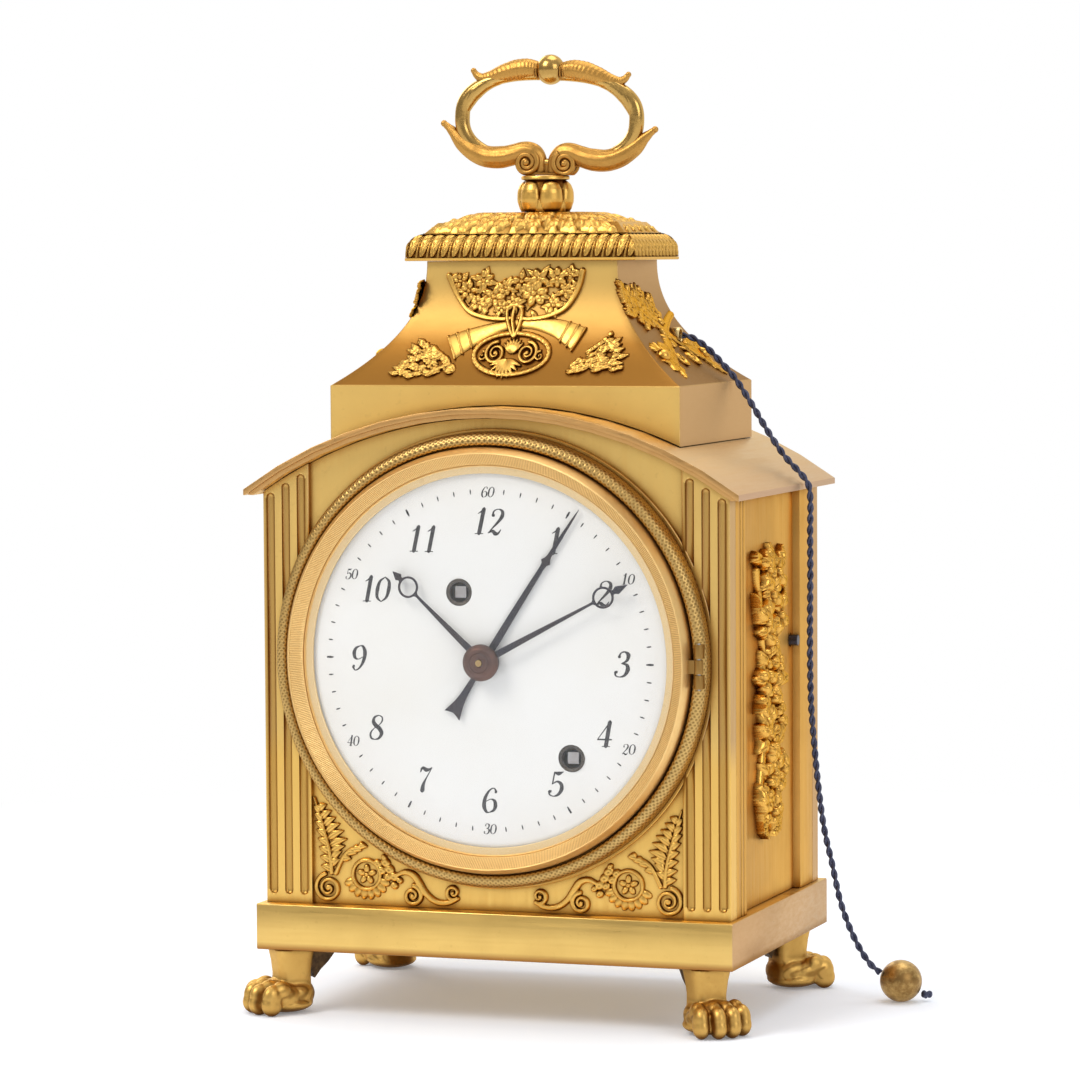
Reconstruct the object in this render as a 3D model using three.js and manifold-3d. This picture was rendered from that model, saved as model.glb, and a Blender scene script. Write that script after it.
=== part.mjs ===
// An officer's travelling clock: a gilt bronze case on four paw feet, with an enamel dial, an alarm hand,
// a going train and a striking train, a bell, and a cord with a ball that is pulled to repeat the hours.
// Millimetres. X is to the right of someone who faces the dial, Y is to the back and Z is up.
// The origin lies on the surface that the clock stands on, under the middle of the case.
import * as THREE from "three";
import { mergeVertices } from "three/addons/utils/BufferGeometryUtils.js";
import Module from "manifold-3d";

const wasm = await Module();
wasm.setup();

// How pieces meet
const seatGap = 0.05;
const archGap = 0.25;
const looseGap = 0.3;
const runGap = 0.35;
const overrun = 1;

// How finely round forms are cut
const ringSteps = 36;
const drumSteps = 18;
const rodSteps = 8;
const pinSteps = 6;
const archSteps = 14;

// Feet
const footHeight = 15.05;
const footSideInset = 8.05;
const footEndInset = 6.15;
const footLeftShift = 1.9;
const legDepth = 5.7;
const legWidth = 9.5;
const legWaistDepth = 4.9;
const legWaistWidth = 8.6;
const pawHeight = 8.2;
const pawWidth = 14.4;
const pawLength = 11.6;
const pawSoleShare = 0.38;
const toeRadius = 2.9;
const toeWidth = 4.3;
const toeHeight = 7.2;
const toeReach = 9.5;
const toeSweep = 2.6;
const toeCount = 4;

// Plinth and base plate
const plinthStep = 1.35;
const plinthDepth = 78.3;
const plinthHeight = 10.65;
const plinthWall = 9;
const basePlateThickness = 2;
const basePlateLedge = 3;

// Walls of the case
const bodyWidth = 111.8;
const bodyDepth = 71.7;
const frontPanelThickness = 3;
const pilasterWidth = 11.2;
const pilasterProud = 1.35;
const fluteCount = 3;
const fluteWidth = 2;
const fluteDepth = 0.7;
const fluteFoot = 2;
const fluteHead = 1.7;
const panelOpeningPlay = 0.9;
const seatRingStep = 0.6;
const sideWall = 5;
const sideRecessDepth = 1.8;
const frontStile = 12.5;
const rearStile = 15;
const stileGroove = 0.6;
const stileGrooveSpacing = 2.2;
const rearFrameThickness = 4.6;

// Roof, block, hood and cap
const roofOverhang = 3.3;
const roofDepth = 79.7;
const roofTop = 140.1;
const roofArcRadius = 101.9;
const roofThickness = 2.3;
const roofLowerBand = 1;
const roofLowerInset = 0.9;
const eaveThickness = 1.34;
const roofHatchX = -16;
const roofHatchWidth = 28;
const roofHatchDepth = 30;
const blockWidth = 84.3;
const blockDepth = 56.5;
const blockTop = 144.6;
const blockWall = 3;
const hoodTop = 173;
const neckWidth = 46.4;
const neckDepth = 29.7;
const hoodWall = 2.4;
const hoodCurvePower = 2.25;
const hoodLevels = 5;
const capWidth = 55.9;
const capDepth = 33.5;
const capRim = 0.8;
const capOvoloHeight = 5;
const capOvoloInset = 3.6;
const capOvoloSteps = 4;
const capFillet = 0.6;
const capStepHeight = 2.4;
const capStepInset = 2.4;
const rosetteWidth = 38;
const rosetteDepth = 19;
const rosetteHeight = 2.4;
const rosetteShares = [[1, 0], [0.82, 0.55], [0.52, 1]];

// Knop and handle
const knopOffset = 0.8;
const knopFootRadius = 4.6;
const knopRadius = 6.7;
const knopHeight = 7.4;
const knopPlateRadius = 5.6;
const knopPlateHeight = 1;
const knopShares = [[0.82, 0.15], [1, 0.45], [0.96, 0.7], [0.72, 0.96]];
const handleHalfWidth = 21.35;
const handleHalfHeight = 10.1;
const handleRise = 13.2;
const handleRodRadius = 1.95;
const handleSquareness = 0.8;
const handleBallRadius = 3.4;
const handleBallRise = 1.4;
const voluteRadius = 3.2;
const voluteThickness = 4.4;
const voluteSpread = 3.9;
const hornRadius = 1.5;
const hornTipRadius = 0.5;
const hornShares = [[0.6, 0.98, 0.87, 1.16], [0.99, -0.45, 1.195, -0.05]];

// Rope ring, bezel, glass and dial
const dialHeight = 83.1;
const ropeGap = 0.65;
const ropeWidth = 2.75;
const ropeProud = 5;
const ropeShares = [[0, 0.8], [0.16, 0.95], [0.42, 1], [0.74, 0.9], [1, 0.62]];
const bezelSkirtStep = 1.7;
const bezelBand = 2.6;
const bezelProud = 7.6;
const bezelRimProud = 6.45;
const milledStep = 0.35;
const milledProud = 5.05;
const bezelLipProud = 4.15;
const bezelLipThickness = 0.8;
const sightInset = 1.6;
const glassThickness = 1.2;
const glassRise = 7;
const glassFullness = 2.6;
const domeSteps = 4;
const dialRadius = 43.9;
const dialProud = 2.75;
const dialRise = 2.7;
const dialThickness = 1.2;
const dialFootRadius = 1.2;
const dialFootCircle = 30;
const dialFeet = 3;
const dialBoreRadius = 3.3;
const windingHoleRadius = 3.1;

// Hinge of the bezel
const bezelHingeInset = 1.4;
const bezelHingeProud = 5.35;
const knuckleRadius = 1.3;
const knuckleLength = 3.1;
const knuckleGap = 0.3;
const hingePinRadius = 0.5;
const hingeBore = 0.85;
const hingePlateProud = 2;
const earThickness = 1.4;

// Back door
const doorStile = 13.9;
const doorFoot = 6;
const doorHead = 8;
const doorThickness = 2.4;
const doorGap = 0.4;
const doorKnuckleLength = 10;
const doorLeafWidth = 5;
const doorLeafThickness = 1.2;
const doorHingeHeight = 70;
const knobRadius = 3;
const knobLength = 1.7;
const knobInset = 5;

// Plates of the movement
const plateHalf = 39.5;
const plateThickness = 2;
const frontPlateSetback = 7.5;
const plateSpacing = 24;
const pillarInset = 3;
const pillarRadius = 2;
const pillarBellyRadius = 2.8;
const arborHole = 1.2;
const arborEnd = 1;

// Hands, and the pipes they turn on
const handThickness = 0.45;
const handGap = 0.35;
const handSag = 2.06;
const handClearance = 0.6;
const hourHandInset = 14.2;
const minuteHandInset = 5.5;
const alarmHandInset = 3.1;
const alarmTail = 15;
const handRing = 2.2;
const handRingSteps = 6;
const hourRingShare = 0.825;
const minuteRingShare = 0.835;
const ringEyeShare = 0.68;
const ringNeckAngle = 70;
const spearShare = 0.36;
const spearWidth = 1.9;
const handRootWidth = 1.9;
const handNeckWidth = 0.8;
const handPointWidth = 0.2;
const alarmShares = [[0, 0.5], [0.25, 0.62], [0.5, 0.78], [0.64, 0.9], [0.655, 1.5], [0.69, 0.62], [0.85, 0.42]];
const alarmHandWidth = 1.7;
const alarmTailShares = [[0.3, 0.32], [0.62, 0.4], [0.8, 1.2], [1, 0.2]];
const alarmTailWidth = 3.6;
const bossRadius = 3.6;
const hubRadius = 4.15;
const hubThickness = 1.9;
const hubRimShare = 0.78;
const arborRadius = 0.8;
const cannonBore = 0.95;
const cannonPipe = 1.35;
const hourBore = 1.55;
const hourPipe = 1.95;
const alarmBore = 2.15;
const alarmPipe = 2.6;
const alarmCamRadius = 7;
const alarmCamSetback = 10;
const alarmNotchDepth = 1.6;
const alarmNotchWidth = 1.8;
const hourAngle = 312.4;
const minuteAngle = 62;
const alarmAngle = 32.5;

// Wheels. A wheel and the pinion it drives stand apart by a small play at the tips of their teeth.
const toothPlay = 0.16;
const wheelThickness = 1;
const motionWheelThickness = 0.9;
const pinionLength = 3;
const barrelRadius = 15;
const barrelTeeth = 42;
const barrelLength = 14;
const barrelSetback = 1.5;
const barrelToothThickness = 2;
const barrelDrumShare = 0.9;
const windingArborRadius = 1.5;
const windingSquare = 2.6;
const squareLength = 7;
const squareSetback = 1.2;
const goingX = -6.3;
const goingZ = 15.5;
const strikeX = 20;
const strikeZ = -21.4;
const centrePinionRadius = 2.14;
const centreWheelRadius = 11;
const centreWheelTeeth = 36;
const centreWheelSetback = 5.6;
const thirdPinionRadius = 1.83;
const thirdWheelRadius = 10;
const thirdWheelTeeth = 36;
const thirdWheelSetback = 2.6;
const thirdBearing = 40;
const fourthPinionRadius = 1.67;
const fourthWheelRadius = 7;
const fourthWheelTeeth = 36;
const fourthWheelStandoff = 1.5;
const fourthBearing = -30;
const escapePinionRadius = 1.2;
const escapeWheelRadius = 5.2;
const escapeTeeth = 15;
const escapeStandoff = 4;
const escapeBearing = 120;
const balanceReach = 6.4;
const balanceBearing = 110;
const balanceRadius = 11;
const balanceRimWidth = 1.3;
const balanceArmWidth = 1.4;
const balanceThickness = 1.1;
const balanceStandoff = 6.5;
const staffRadius = 0.5;
const cockWidth = 8;
const cockThickness = 1.6;
const cockSpan = 16;
const cockStandoff = 9.2;
const cannonPinionRadius = 3;
const cannonTeeth = 8;
const minuteWheelRadius = 9;
const minuteWheelTeeth = 24;
const motionPinionRadius = 2.4;
const motionPinionTeeth = 8;
const hourWheelRadius = 9.6;
const hourWheelTeeth = 32;
const minuteWheelSetback = 2.3;
const hourWheelSetback = 6.1;
const motionPostRadius = 0.7;
const motionBore = 1;
const cannonSetback = 1;
const pinWheelRadius = 10;
const pinWheelTeeth = 36;
const pinWheelPinionRadius = 2.14;
const liftingPins = 6;
const liftingPinRadius = 0.5;
const liftingPinLength = 1.6;
const liftingPinShare = 0.8;
const flyPinionRadius = 1.67;
const flyReach = 7;
const flyLength = 8;
const flyThickness = 0.8;
const flySetback = 6;
const flyBearing = 210;

// Bell and hammer
const bellX = -8;
const bellZ = -19;
const bellRadius = 20;
const bellDepth = 13;
const bellWall = 1.2;
const bellStandoff = 6;
const bellPostRadius = 1.6;
const bellPostFoot = 3.2;
const bellSteps = 3;
const bellNutRadius = 3;
const bellNutHeight = 2;
const hammerReach = 24;
const hammerArmWidth = 2;
const hammerHeadRadius = 2.6;
const hammerHeadLength = 5;
const hammerGap = 0.8;
const hammerStandoff = 8;
const hammerArmThickness = 1.4;

// Repeating drum in the hood
const drumX = 12;
const drumY = 8.2;
const drumHeight = 148.5;
const drumRadius = 5.8;
const drumFlange = 7.2;
const drumWidth = 4;
const drumFlangeThickness = 0.8;
const drumArborRadius = 1;
const cheekThickness = 1.2;
const cheekWidth = 6;
const bracketWidth = 12;

// Stop button at the right side
const buttonY = 19;
const buttonHeight = 84.2;
const buttonRadius = 1.3;
const buttonProud = 1.9;
const buttonFlange = 2.1;
const buttonFlangeThickness = 1;

// Applied mounts
const lobeSteps = 6;
const spandrelRelief = 1;
const spandrelMiddle = 8.2;
const spandrelInset = 0.5;
const spandrelFoot = 1.2;
// Places across and up and a radius, all as shares of the mount's width
const spandrelShares = [
  [0.09, 0.065, 0.085], [0.37, 0.17, 0.12], [0.22, 0.17, 0.06], [0.2, 0.27, 0.075], [0.14, 0.38, 0.08],
  [0.1, 0.49, 0.07], [0.07, 0.6, 0.05], [0.68, 0.055, 0.06], [0.93, 0.07, 0.055],
];
const spandrelLinkShares = [[0, 2], [2, 3], [3, 4], [4, 5], [5, 6], [2, 1], [1, 7], [7, 8]];
const spandrelLinkWidth = 1.6;
const hoodMountRelief = 1.3;
const hoodMountWidth = 60;
const hoodMountFoot = 2.4;
const hoodMountShares = [
  [-0.46, 0.03, 0.03], [-0.38, 0.07, 0.075], [-0.28, 0.1, 0.05], [0, 0.12, 0.125], [0, 0.045, 0.05],
  [0, 0.24, 0.04], [-0.12, 0.35, 0.05], [-0.24, 0.4, 0.035], [-0.04, 0.36, 0.05], [0.05, 0.37, 0.05],
  [0.14, 0.37, 0.05], [0.24, 0.4, 0.035], [0.28, 0.1, 0.05], [0.38, 0.07, 0.075], [0.46, 0.03, 0.03],
];
const hoodLinkShares = [
  [0, 1], [1, 2], [2, 5], [3, 4], [3, 5], [5, 8], [5, 9], [8, 6], [6, 7], [9, 10], [10, 11], [5, 12], [12, 13],
  [13, 14], [2, 3], [3, 12],
];
const hoodLinkWidth = 3.4;
const hoodSideMountWidth = 38;
const sideBossRadius = 2;
const sideBossProud = 2.2;
const sideBossShare = 0.4;
const sideMountRelief = 1.5;
const sideMountSwell = 2.6;
const sideMountMiddle = -2;
const sideMountFoot = 14.8;
const sideMountHeight = 67.8;
// Half width and height up the mount, as shares of the mount's height
const sideMountShares = [
  [0.03, 0], [0.1, 0.02], [0.14, 0.12], [0.2, 0.18], [0.17, 0.3], [0.21, 0.37], [0.14, 0.47], [0.2, 0.56],
  [0.23, 0.66], [0.16, 0.76], [0.2, 0.85], [0.2, 0.98], [0.12, 1],
];
const sideSwellShares = [[0.09, 0.2], [-0.06, 0.36], [0.03, 0.5], [-0.04, 0.64], [0.06, 0.78], [-0.03, 0.91]];

// Cord, eyelet, ball and knot
const cordDiameter = 1.8;
const cordSides = 8;
const cordSteps = 34;
const eyeletRadius = 1.9;
const eyeletBore = 1.3;
const eyeletProud = 1.4;
const eyeletHeight = 155.5;
const pullBallRadius = 4.9;
const knotRadius = 1.6;

// The cord's middle line over the roof, as the share of the way out from the eyelet to the roof's edge, the
// place along the depth, and the share of the way up from the roof's corner to the eyelet.
const cordStart = 31.3;
const cordOverShares = [
  [0, 8.2, 1], [0.0681, 8.5, 0.9884], [0.1434, 9, 0.9534], [0.2222, 9.6, 0.8981], [0.3118, 10.2, 0.8196],
  [0.4265, 10.7, 0.7119], [0.5627, 10.9, 0.546], [0.7061, 11.1, 0.3539], [0.8495, 11.2, 0.188], [0.9821, 11.3, 0.0745],
];
// Its middle line beside the case, as the distance out from the roof's edge, the place along the depth, and
// the share of the roof corner's height.
const cordFallShares = [
  [1.4, 11.3, 0.9997], [1.9, 11.4, 0.9691], [1.8, 11.5, 0.9039], [1.8, 11.6, 0.8255], [1.7, 11.6, 0.7429],
  [1.7, 11.6, 0.6604], [1.9, 11.7, 0.5778], [2.6, 12, 0.4953], [3.5, 12.4, 0.4127], [4.6, 13, 0.3385],
  [6.2, 13.8, 0.2724], [8, 14.6, 0.1981], [10, 15.6, 0.1453], [12.2, 16.6, 0.104], [14.4, 17.6, 0.0743],
  [16.5, 18.7, 0.057],
];
const pullBallOut = 20.95;
const pullBallY = 20.7;
const knotOut = 26.38;
const knotY = 23.12;

// Lines that several pieces share
const plinthWidth = bodyWidth + 2 * plinthStep;
const plinthTop = footHeight + plinthHeight;
const frontFace = -bodyDepth / 2;
const panelFace = frontFace + pilasterProud;
const panelBack = panelFace + frontPanelThickness;
const backFace = bodyDepth / 2;
const rearFrameFront = backFace - rearFrameThickness;
const sideFace = bodyWidth / 2;
const sideInner = sideFace - sideWall;
const recessFace = sideFace - sideRecessDepth;
const archHeight = roofTop - roofArcRadius;
const roofUnder = roofArcRadius - roofThickness;
const roofWidth = bodyWidth + 2 * roofOverhang;
const roofEdge = roofWidth / 2;
const roofCorner = archHeight + Math.sqrt(roofArcRadius * roofArcRadius - roofEdge * roofEdge);
const eaveHeight = roofCorner - eaveThickness;
const doorWidth = bodyWidth - 2 * doorStile;
const spandrelEdge = sideFace - pilasterWidth - spandrelInset;
const spandrelWidth = spandrelEdge - spandrelMiddle;
const frontPlateFront = panelBack + frontPlateSetback;
const frontPlateBack = frontPlateFront + plateThickness;
const backPlateFront = frontPlateBack + plateSpacing;
const backPlateBack = backPlateFront + plateThickness;
const dialFront = frontFace - dialProud;
const dialMiddle = dialFront - dialRise;
const dialBack = dialFront + dialThickness;
const sightRadius = dialRadius - sightInset;
const milledInnerRadius = dialRadius + milledStep;
const bezelSkirtRadius = dialRadius + bezelSkirtStep;
const panelOpeningRadius = bezelSkirtRadius + panelOpeningPlay;
const bezelOuterRadius = bezelSkirtRadius + bezelBand;
const ropeInnerRadius = bezelOuterRadius + ropeGap;
const ropeOuterRadius = ropeInnerRadius + ropeWidth;
const seatRingRadius = ropeOuterRadius + seatRingStep;
const bezelHingeX = ropeOuterRadius - bezelHingeInset;
const hourLength = dialRadius - hourHandInset;
const minuteLength = dialRadius - minuteHandInset;
const alarmLength = dialRadius - alarmHandInset;
const glassSeat = frontFace - bezelLipProud - seatGap;
const alarmHandBack = dialMiddle - handClearance;
const hourHandBack = alarmHandBack - handThickness - handGap;
const minuteHandBack = hourHandBack - handThickness - handGap;
const hubBack = minuteHandBack - handThickness - seatGap;
const hubFront = hubBack - hubThickness;
const bezelHingeY = frontFace - bezelHingeProud;
const doorHingeX = -doorWidth / 2 - doorGap;
const doorHingeY = backFace + knuckleRadius + looseGap;
const barrelFront = frontPlateBack + barrelSetback;
const capTop = hoodTop + capRim + capOvoloHeight + capFillet + capStepHeight;
const knopBase = capTop + rosetteHeight;
const handleFoot = knopBase + knopHeight + knopPlateHeight;
const handleMiddle = handleFoot + handleRise;
const cordRoute = [
  ...cordOverShares.map(([out, y, up]) => [
    cordStart + out * (roofEdge - cordStart), y, roofCorner + up * (eyeletHeight - roofCorner),
  ]),
  ...cordFallShares.map(([out, y, up]) => [roofEdge + out, y, up * roofCorner]),
];
const pullBallPlace = [roofEdge + pullBallOut, pullBallY, pullBallRadius];
const knotPlace = [roofEdge + knotOut, knotY, knotRadius];

// Finishes
const finish = (color, roughness, metalness) => new THREE.MeshStandardMaterial({ color, roughness, metalness });
const gilt = finish(0xe0b45c, 0.32, 1);
const giltPale = finish(0xd8b47e, 0.38, 1);
const brass = finish(0xc9a45a, 0.35, 1);
const steel = finish(0x8d9096, 0.3, 1);
const blued = finish(0x2a2c36, 0.35, 1);
const enamel = finish(0xf0eee6, 0.18, 0);
const bellMetal = finish(0xb99d6b, 0.3, 1);
const glassClear = new THREE.MeshStandardMaterial({
  color: 0xffffff, roughness: 0.05, metalness: 0, transparent: true, opacity: 0.15,
});
const cordFinish = finish(0x23263c, 0.9, 0);

// A closed geometry as a solid that can be joined and cut, with its faces turned out.
function solid(geometry) {
  const bare = geometry.index ? geometry.toNonIndexed() : geometry.clone();
  bare.deleteAttribute("normal");
  bare.deleteAttribute("uv");
  const merged = mergeVertices(bare);
  const vertProperties = new Float32Array(merged.attributes.position.array);
  const triVerts = new Uint32Array(merged.index.array);
  const made = new wasm.Manifold(new wasm.Mesh({ numProp: 3, vertProperties, triVerts }));
  if (made.volume() > 0) return made;
  for (let i = 0; i < triVerts.length; i += 3) {
    [triVerts[i + 1], triVerts[i + 2]] = [triVerts[i + 2], triVerts[i + 1]];
  }
  return new wasm.Manifold(new wasm.Mesh({ numProp: 3, vertProperties, triVerts }));
}

// The geometry of a solid, for its mesh.
function geometryOf(body) {
  const { vertProperties, triVerts } = body.getMesh();
  const geometry = new THREE.BufferGeometry();
  geometry.setAttribute("position", new THREE.BufferAttribute(new Float32Array(vertProperties), 3));
  geometry.setIndex(new THREE.BufferAttribute(new Uint32Array(triVerts), 1));
  return geometry;
}

const join = (first, ...others) => others.reduce((sum, body) => sum.add(body), first);
const cut = (first, ...others) => others.reduce((left, body) => left.subtract(body), first);
const moved = (body, x, y, z) => solid(geometryOf(body).translate(x, y, z));
const mirrored = (body) => solid(geometryOf(body).scale(-1, 1, 1));

// A box between two corners.
function block(x0, x1, y0, y1, z0, z1) {
  const geometry = new THREE.BoxGeometry(x1 - x0, y1 - y0, z1 - z0);
  return solid(geometry.translate((x0 + x1) / 2, (y0 + y1) / 2, (z0 + z1) / 2));
}

// An outline pushed out along an axis from low to high. On the y axis the outline is drawn in x and z,
// on the x axis in y and z, and on the z axis in x and y.
function prism(outline, low, high, axis) {
  const geometry = new THREE.ExtrudeGeometry(outline, {
    depth: high - low, bevelEnabled: false, curveSegments: pinSteps,
  });
  if (axis === "y") return solid(geometry.rotateX(Math.PI / 2).translate(0, high, 0));
  if (axis === "z") return solid(geometry.translate(0, 0, low));
  const turn = new THREE.Matrix4().makeBasis(
    new THREE.Vector3(0, 1, 0), new THREE.Vector3(0, 0, 1), new THREE.Vector3(1, 0, 0),
  );
  return solid(geometry.applyMatrix4(turn).translate(low, 0, 0));
}

// A closed profile of [radius, place along the axis] turned round the x, y or z axis.
function turned(profile, steps, axis = "y") {
  const geometry = new THREE.LatheGeometry(profile.map(([r, t]) => new THREE.Vector2(r, t)), steps);
  if (axis === "z") geometry.rotateX(Math.PI / 2);
  if (axis === "x") geometry.rotateZ(-Math.PI / 2);
  return solid(geometry);
}

const disc = (radius, low, high, steps, axis) =>
  turned([[0, low], [radius, low], [radius, high], [0, high]], steps, axis);
const ring = (bore, radius, low, high, steps, axis) =>
  turned([[bore, low], [radius, low], [radius, high], [bore, high], [bore, low]], steps, axis);

// A solid whose rectangular plan changes with height: each level is [half width, half depth, height].
function tiers(levels) {
  const position = levels.flatMap(([x, y, z]) => [-x, -y, z, x, -y, z, x, y, z, -x, y, z]);
  const index = [0, 2, 1, 0, 3, 2];
  for (let i = 0; i < levels.length - 1; i += 1) {
    for (let k = 0; k < 4; k += 1) {
      const a = 4 * i + k;
      const b = 4 * i + (k + 1) % 4;
      index.push(a, b, b + 4, a, b + 4, a + 4);
    }
  }
  const top = 4 * (levels.length - 1);
  index.push(top, top + 1, top + 2, top, top + 2, top + 3);
  const geometry = new THREE.BufferGeometry();
  geometry.setAttribute("position", new THREE.Float32BufferAttribute(position, 3));
  geometry.setIndex(index);
  return solid(geometry);
}

// An ellipsoid by its half sizes.
function egg(halfX, halfY, halfZ, round = rodSteps, tall = rodSteps / 2) {
  return solid(new THREE.SphereGeometry(1, round, tall).rotateX(Math.PI / 2).scale(halfX, halfY, halfZ));
}

// A closed loop of rod whose middle line is given by a function of the angle.
function loopRod(middle, radius, steps, sides) {
  const position = [];
  const index = [];
  const step = 2 * Math.PI / steps;
  for (let i = 0; i < steps; i += 1) {
    const here = middle(i * step);
    const before = middle((i - 1) * step);
    const after = middle((i + 1) * step);
    const outward = new THREE.Vector2(after[1] - before[1], before[0] - after[0]).normalize();
    for (let k = 0; k < sides; k += 1) {
      const turn = 2 * Math.PI * k / sides;
      const out = radius * Math.cos(turn);
      position.push(here[0] + outward.x * out, radius * Math.sin(turn), here[1] + outward.y * out);
      const a = i * sides + k;
      const b = i * sides + (k + 1) % sides;
      const next = ((i + 1) % steps) * sides;
      index.push(a, b, next + (k + 1) % sides, a, next + (k + 1) % sides, next + k);
    }
  }
  const geometry = new THREE.BufferGeometry();
  geometry.setAttribute("position", new THREE.Float32BufferAttribute(position, 3));
  geometry.setIndex(index);
  return solid(geometry);
}

// A toothed wheel seen along its arbor, with pointed teeth between the root and the tip.
function toothed(teeth, radius, bore) {
  const tip = radius - toothPlay;
  const root = tip - 2 * radius / teeth;
  const outline = new THREE.Shape();
  for (let i = 0; i < 2 * teeth; i += 1) {
    const reach = i % 2 ? root : tip;
    const angle = Math.PI * i / teeth;
    const go = i ? "lineTo" : "moveTo";
    outline[go](reach * Math.cos(angle), reach * Math.sin(angle));
  }
  outline.closePath();
  if (bore) outline.holes.push(new THREE.Path().absarc(0, 0, bore, 0, 2 * Math.PI, true));
  return outline;
}

// Where a wheel stands when it meets another at the sum of their radii, at a bearing from the +x axis.
function besides(place, distance, bearing) {
  const angle = THREE.MathUtils.degToRad(bearing);
  return [place[0] + distance * Math.cos(angle), place[1] + distance * Math.sin(angle)];
}

const clock = new THREE.Group();
const pieces = new THREE.Group();
clock.add(pieces);

// Adds a solid to the clock as a named mesh, at its place.
function add(name, body, material, x = 0, y = 0, z = 0, turn = 0) {
  const mesh = new THREE.Mesh(geometryOf(body), material);
  mesh.name = name;
  mesh.position.set(x, y, z);
  mesh.rotation.z = turn;
  pieces.add(mesh);
  return mesh;
}

// The height of the arch at a distance from the middle, for an arc round the roof's centre.
const archAt = (radius, x) => archHeight + Math.sqrt(radius * radius - x * x);

// The outline of a wall under the roof: upright sides, a level foot and an arched head.
function archedOutline(left, right, foot, radius, steps = archSteps) {
  const outline = new THREE.Shape();
  outline.moveTo(left, foot);
  outline.lineTo(right, foot);
  for (let i = 0; i <= steps; i += 1) {
    const x = right + (left - right) * i / steps;
    outline.lineTo(x, archAt(radius, x));
  }
  outline.closePath();
  return outline;
}

// A lion's paw under a short leg. It points along +x before it is turned to its corner.
function foot() {
  const leg = tiers([
    [legDepth / 2, legWidth / 2, 0],
    [legWaistDepth / 2, legWaistWidth / 2, pawHeight],
    [legDepth / 2, legWidth / 2, footHeight - seatGap],
  ]);
  const rise = 1 - pawSoleShare;
  const pad = moved(
    egg(pawLength / 2, pawWidth / 2, pawHeight * rise), pawLength / 2 - legDepth / 2, 0, pawHeight * pawSoleShare,
  );
  const toes = [];
  for (let i = 0; i < toeCount; i += 1) {
    const side = 2 * i / (toeCount - 1) - 1;
    const toe = egg(toeRadius, toeWidth / 2, toeHeight * rise, pinSteps);
    toes.push(moved(toe, toeReach - toeSweep * side * side, side * (pawWidth - toeWidth) / 2, toeHeight * pawSoleShare));
  }
  const ground = block(-plinthWidth, plinthWidth, -plinthWidth, plinthWidth, -plinthWidth, 0);
  return cut(join(leg, pad, ...toes), ground);
}

// A box centred on the clock's upright axis.
const slab = (width, depth, low, high) => block(-width / 2, width / 2, -depth / 2, depth / 2, low, high);

function plinth() {
  const clear = 2 * plinthWall;
  const ledge = 2 * (plinthWall - basePlateLedge);
  return cut(
    slab(plinthWidth, plinthDepth, footHeight, plinthTop),
    slab(plinthWidth - clear, plinthDepth - clear, footHeight - overrun, plinthTop + overrun),
    slab(plinthWidth - ledge, plinthDepth - ledge, plinthTop - basePlateThickness - seatGap, plinthTop + overrun),
  );
}

function basePlate() {
  const inset = 2 * (plinthWall - basePlateLedge + looseGap);
  return slab(plinthWidth - inset, plinthDepth - inset, plinthTop - basePlateThickness, plinthTop);
}

// One flute of a pilaster: a half-round groove with rounded ends, at a distance from the middle of the clock.
function flute(x) {
  const half = fluteWidth / 2;
  const low = plinthTop + fluteFoot;
  const high = archAt(roofUnder, Math.abs(x)) - fluteHead;
  const profile = [[0, low], [half * Math.SQRT1_2, low + half * (1 - Math.SQRT1_2)], [half, low + half]];
  const head = profile.map(([r, z]) => [r, low + high - z]).reverse();
  const groove = turned([...profile, ...head], pinSteps + 2, "z");
  const flattened = solid(geometryOf(groove).scale(1, 2 * fluteDepth / fluteWidth, 1));
  return moved(flattened, x, frontFace, 0);
}

// The front wall: a plate with two fluted pilasters and a raised ring round the opening for the dial.
function frontPanel() {
  const low = plinthTop + seatGap;
  const under = roofUnder - archGap;
  const plate = prism(archedOutline(-sideFace, sideFace, low, under), panelFace, panelBack, "y");
  const pilaster = archedOutline(sideFace - pilasterWidth, sideFace, low, under, pinSteps / 2);
  const right = prism(pilaster, frontFace, panelBack, "y");
  const seat = moved(disc(seatRingRadius, frontFace, panelBack, ringSteps), 0, 0, dialHeight);
  const opening = moved(disc(panelOpeningRadius, frontFace - overrun, panelBack + overrun, ringSteps), 0, 0, dialHeight);
  const flutes = [];
  for (let i = 0; i < fluteCount; i += 1) {
    const x = sideFace - pilasterWidth * (i + 1 / 2) / fluteCount;
    flutes.push(flute(x), flute(-x));
  }
  return cut(join(plate, right, mirrored(right), seat), opening, ...flutes);
}

// The right wall, with the recess that holds its applied mount and two grooves down its front stile.
function sidePanel() {
  const low = plinthTop + seatGap;
  const outline = archedOutline(sideInner, sideFace, low, roofUnder - archGap, 2);
  const wall = prism(outline, panelBack + seatGap, rearFrameFront - seatGap, "y");
  const reach = [low - overrun, roofTop];
  const recess = block(recessFace, sideFace + overrun, frontFace + frontStile, backFace - rearStile, ...reach);
  const grooves = [1, 2].map((i) => {
    const y = frontFace + frontStile - i * stileGrooveSpacing;
    return block(sideFace - stileGroove, sideFace + overrun, y - stileGroove / 2, y + stileGroove / 2, ...reach);
  });
  return cut(wall, recess, ...grooves);
}

// The hole in the right wall for the stop button.
function buttonHole() {
  const hole = disc(buttonRadius + looseGap, sideInner - overrun, sideFace + overrun, rodSteps, "x");
  return moved(hole, 0, buttonY, buttonHeight);
}

// Three knuckles of a hinge stand in a row: the middle one turns with the door.
const knuckleHeights = (middle, length, gap) => [-1, 0, 1].map((i) => middle + i * (length + gap));

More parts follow.
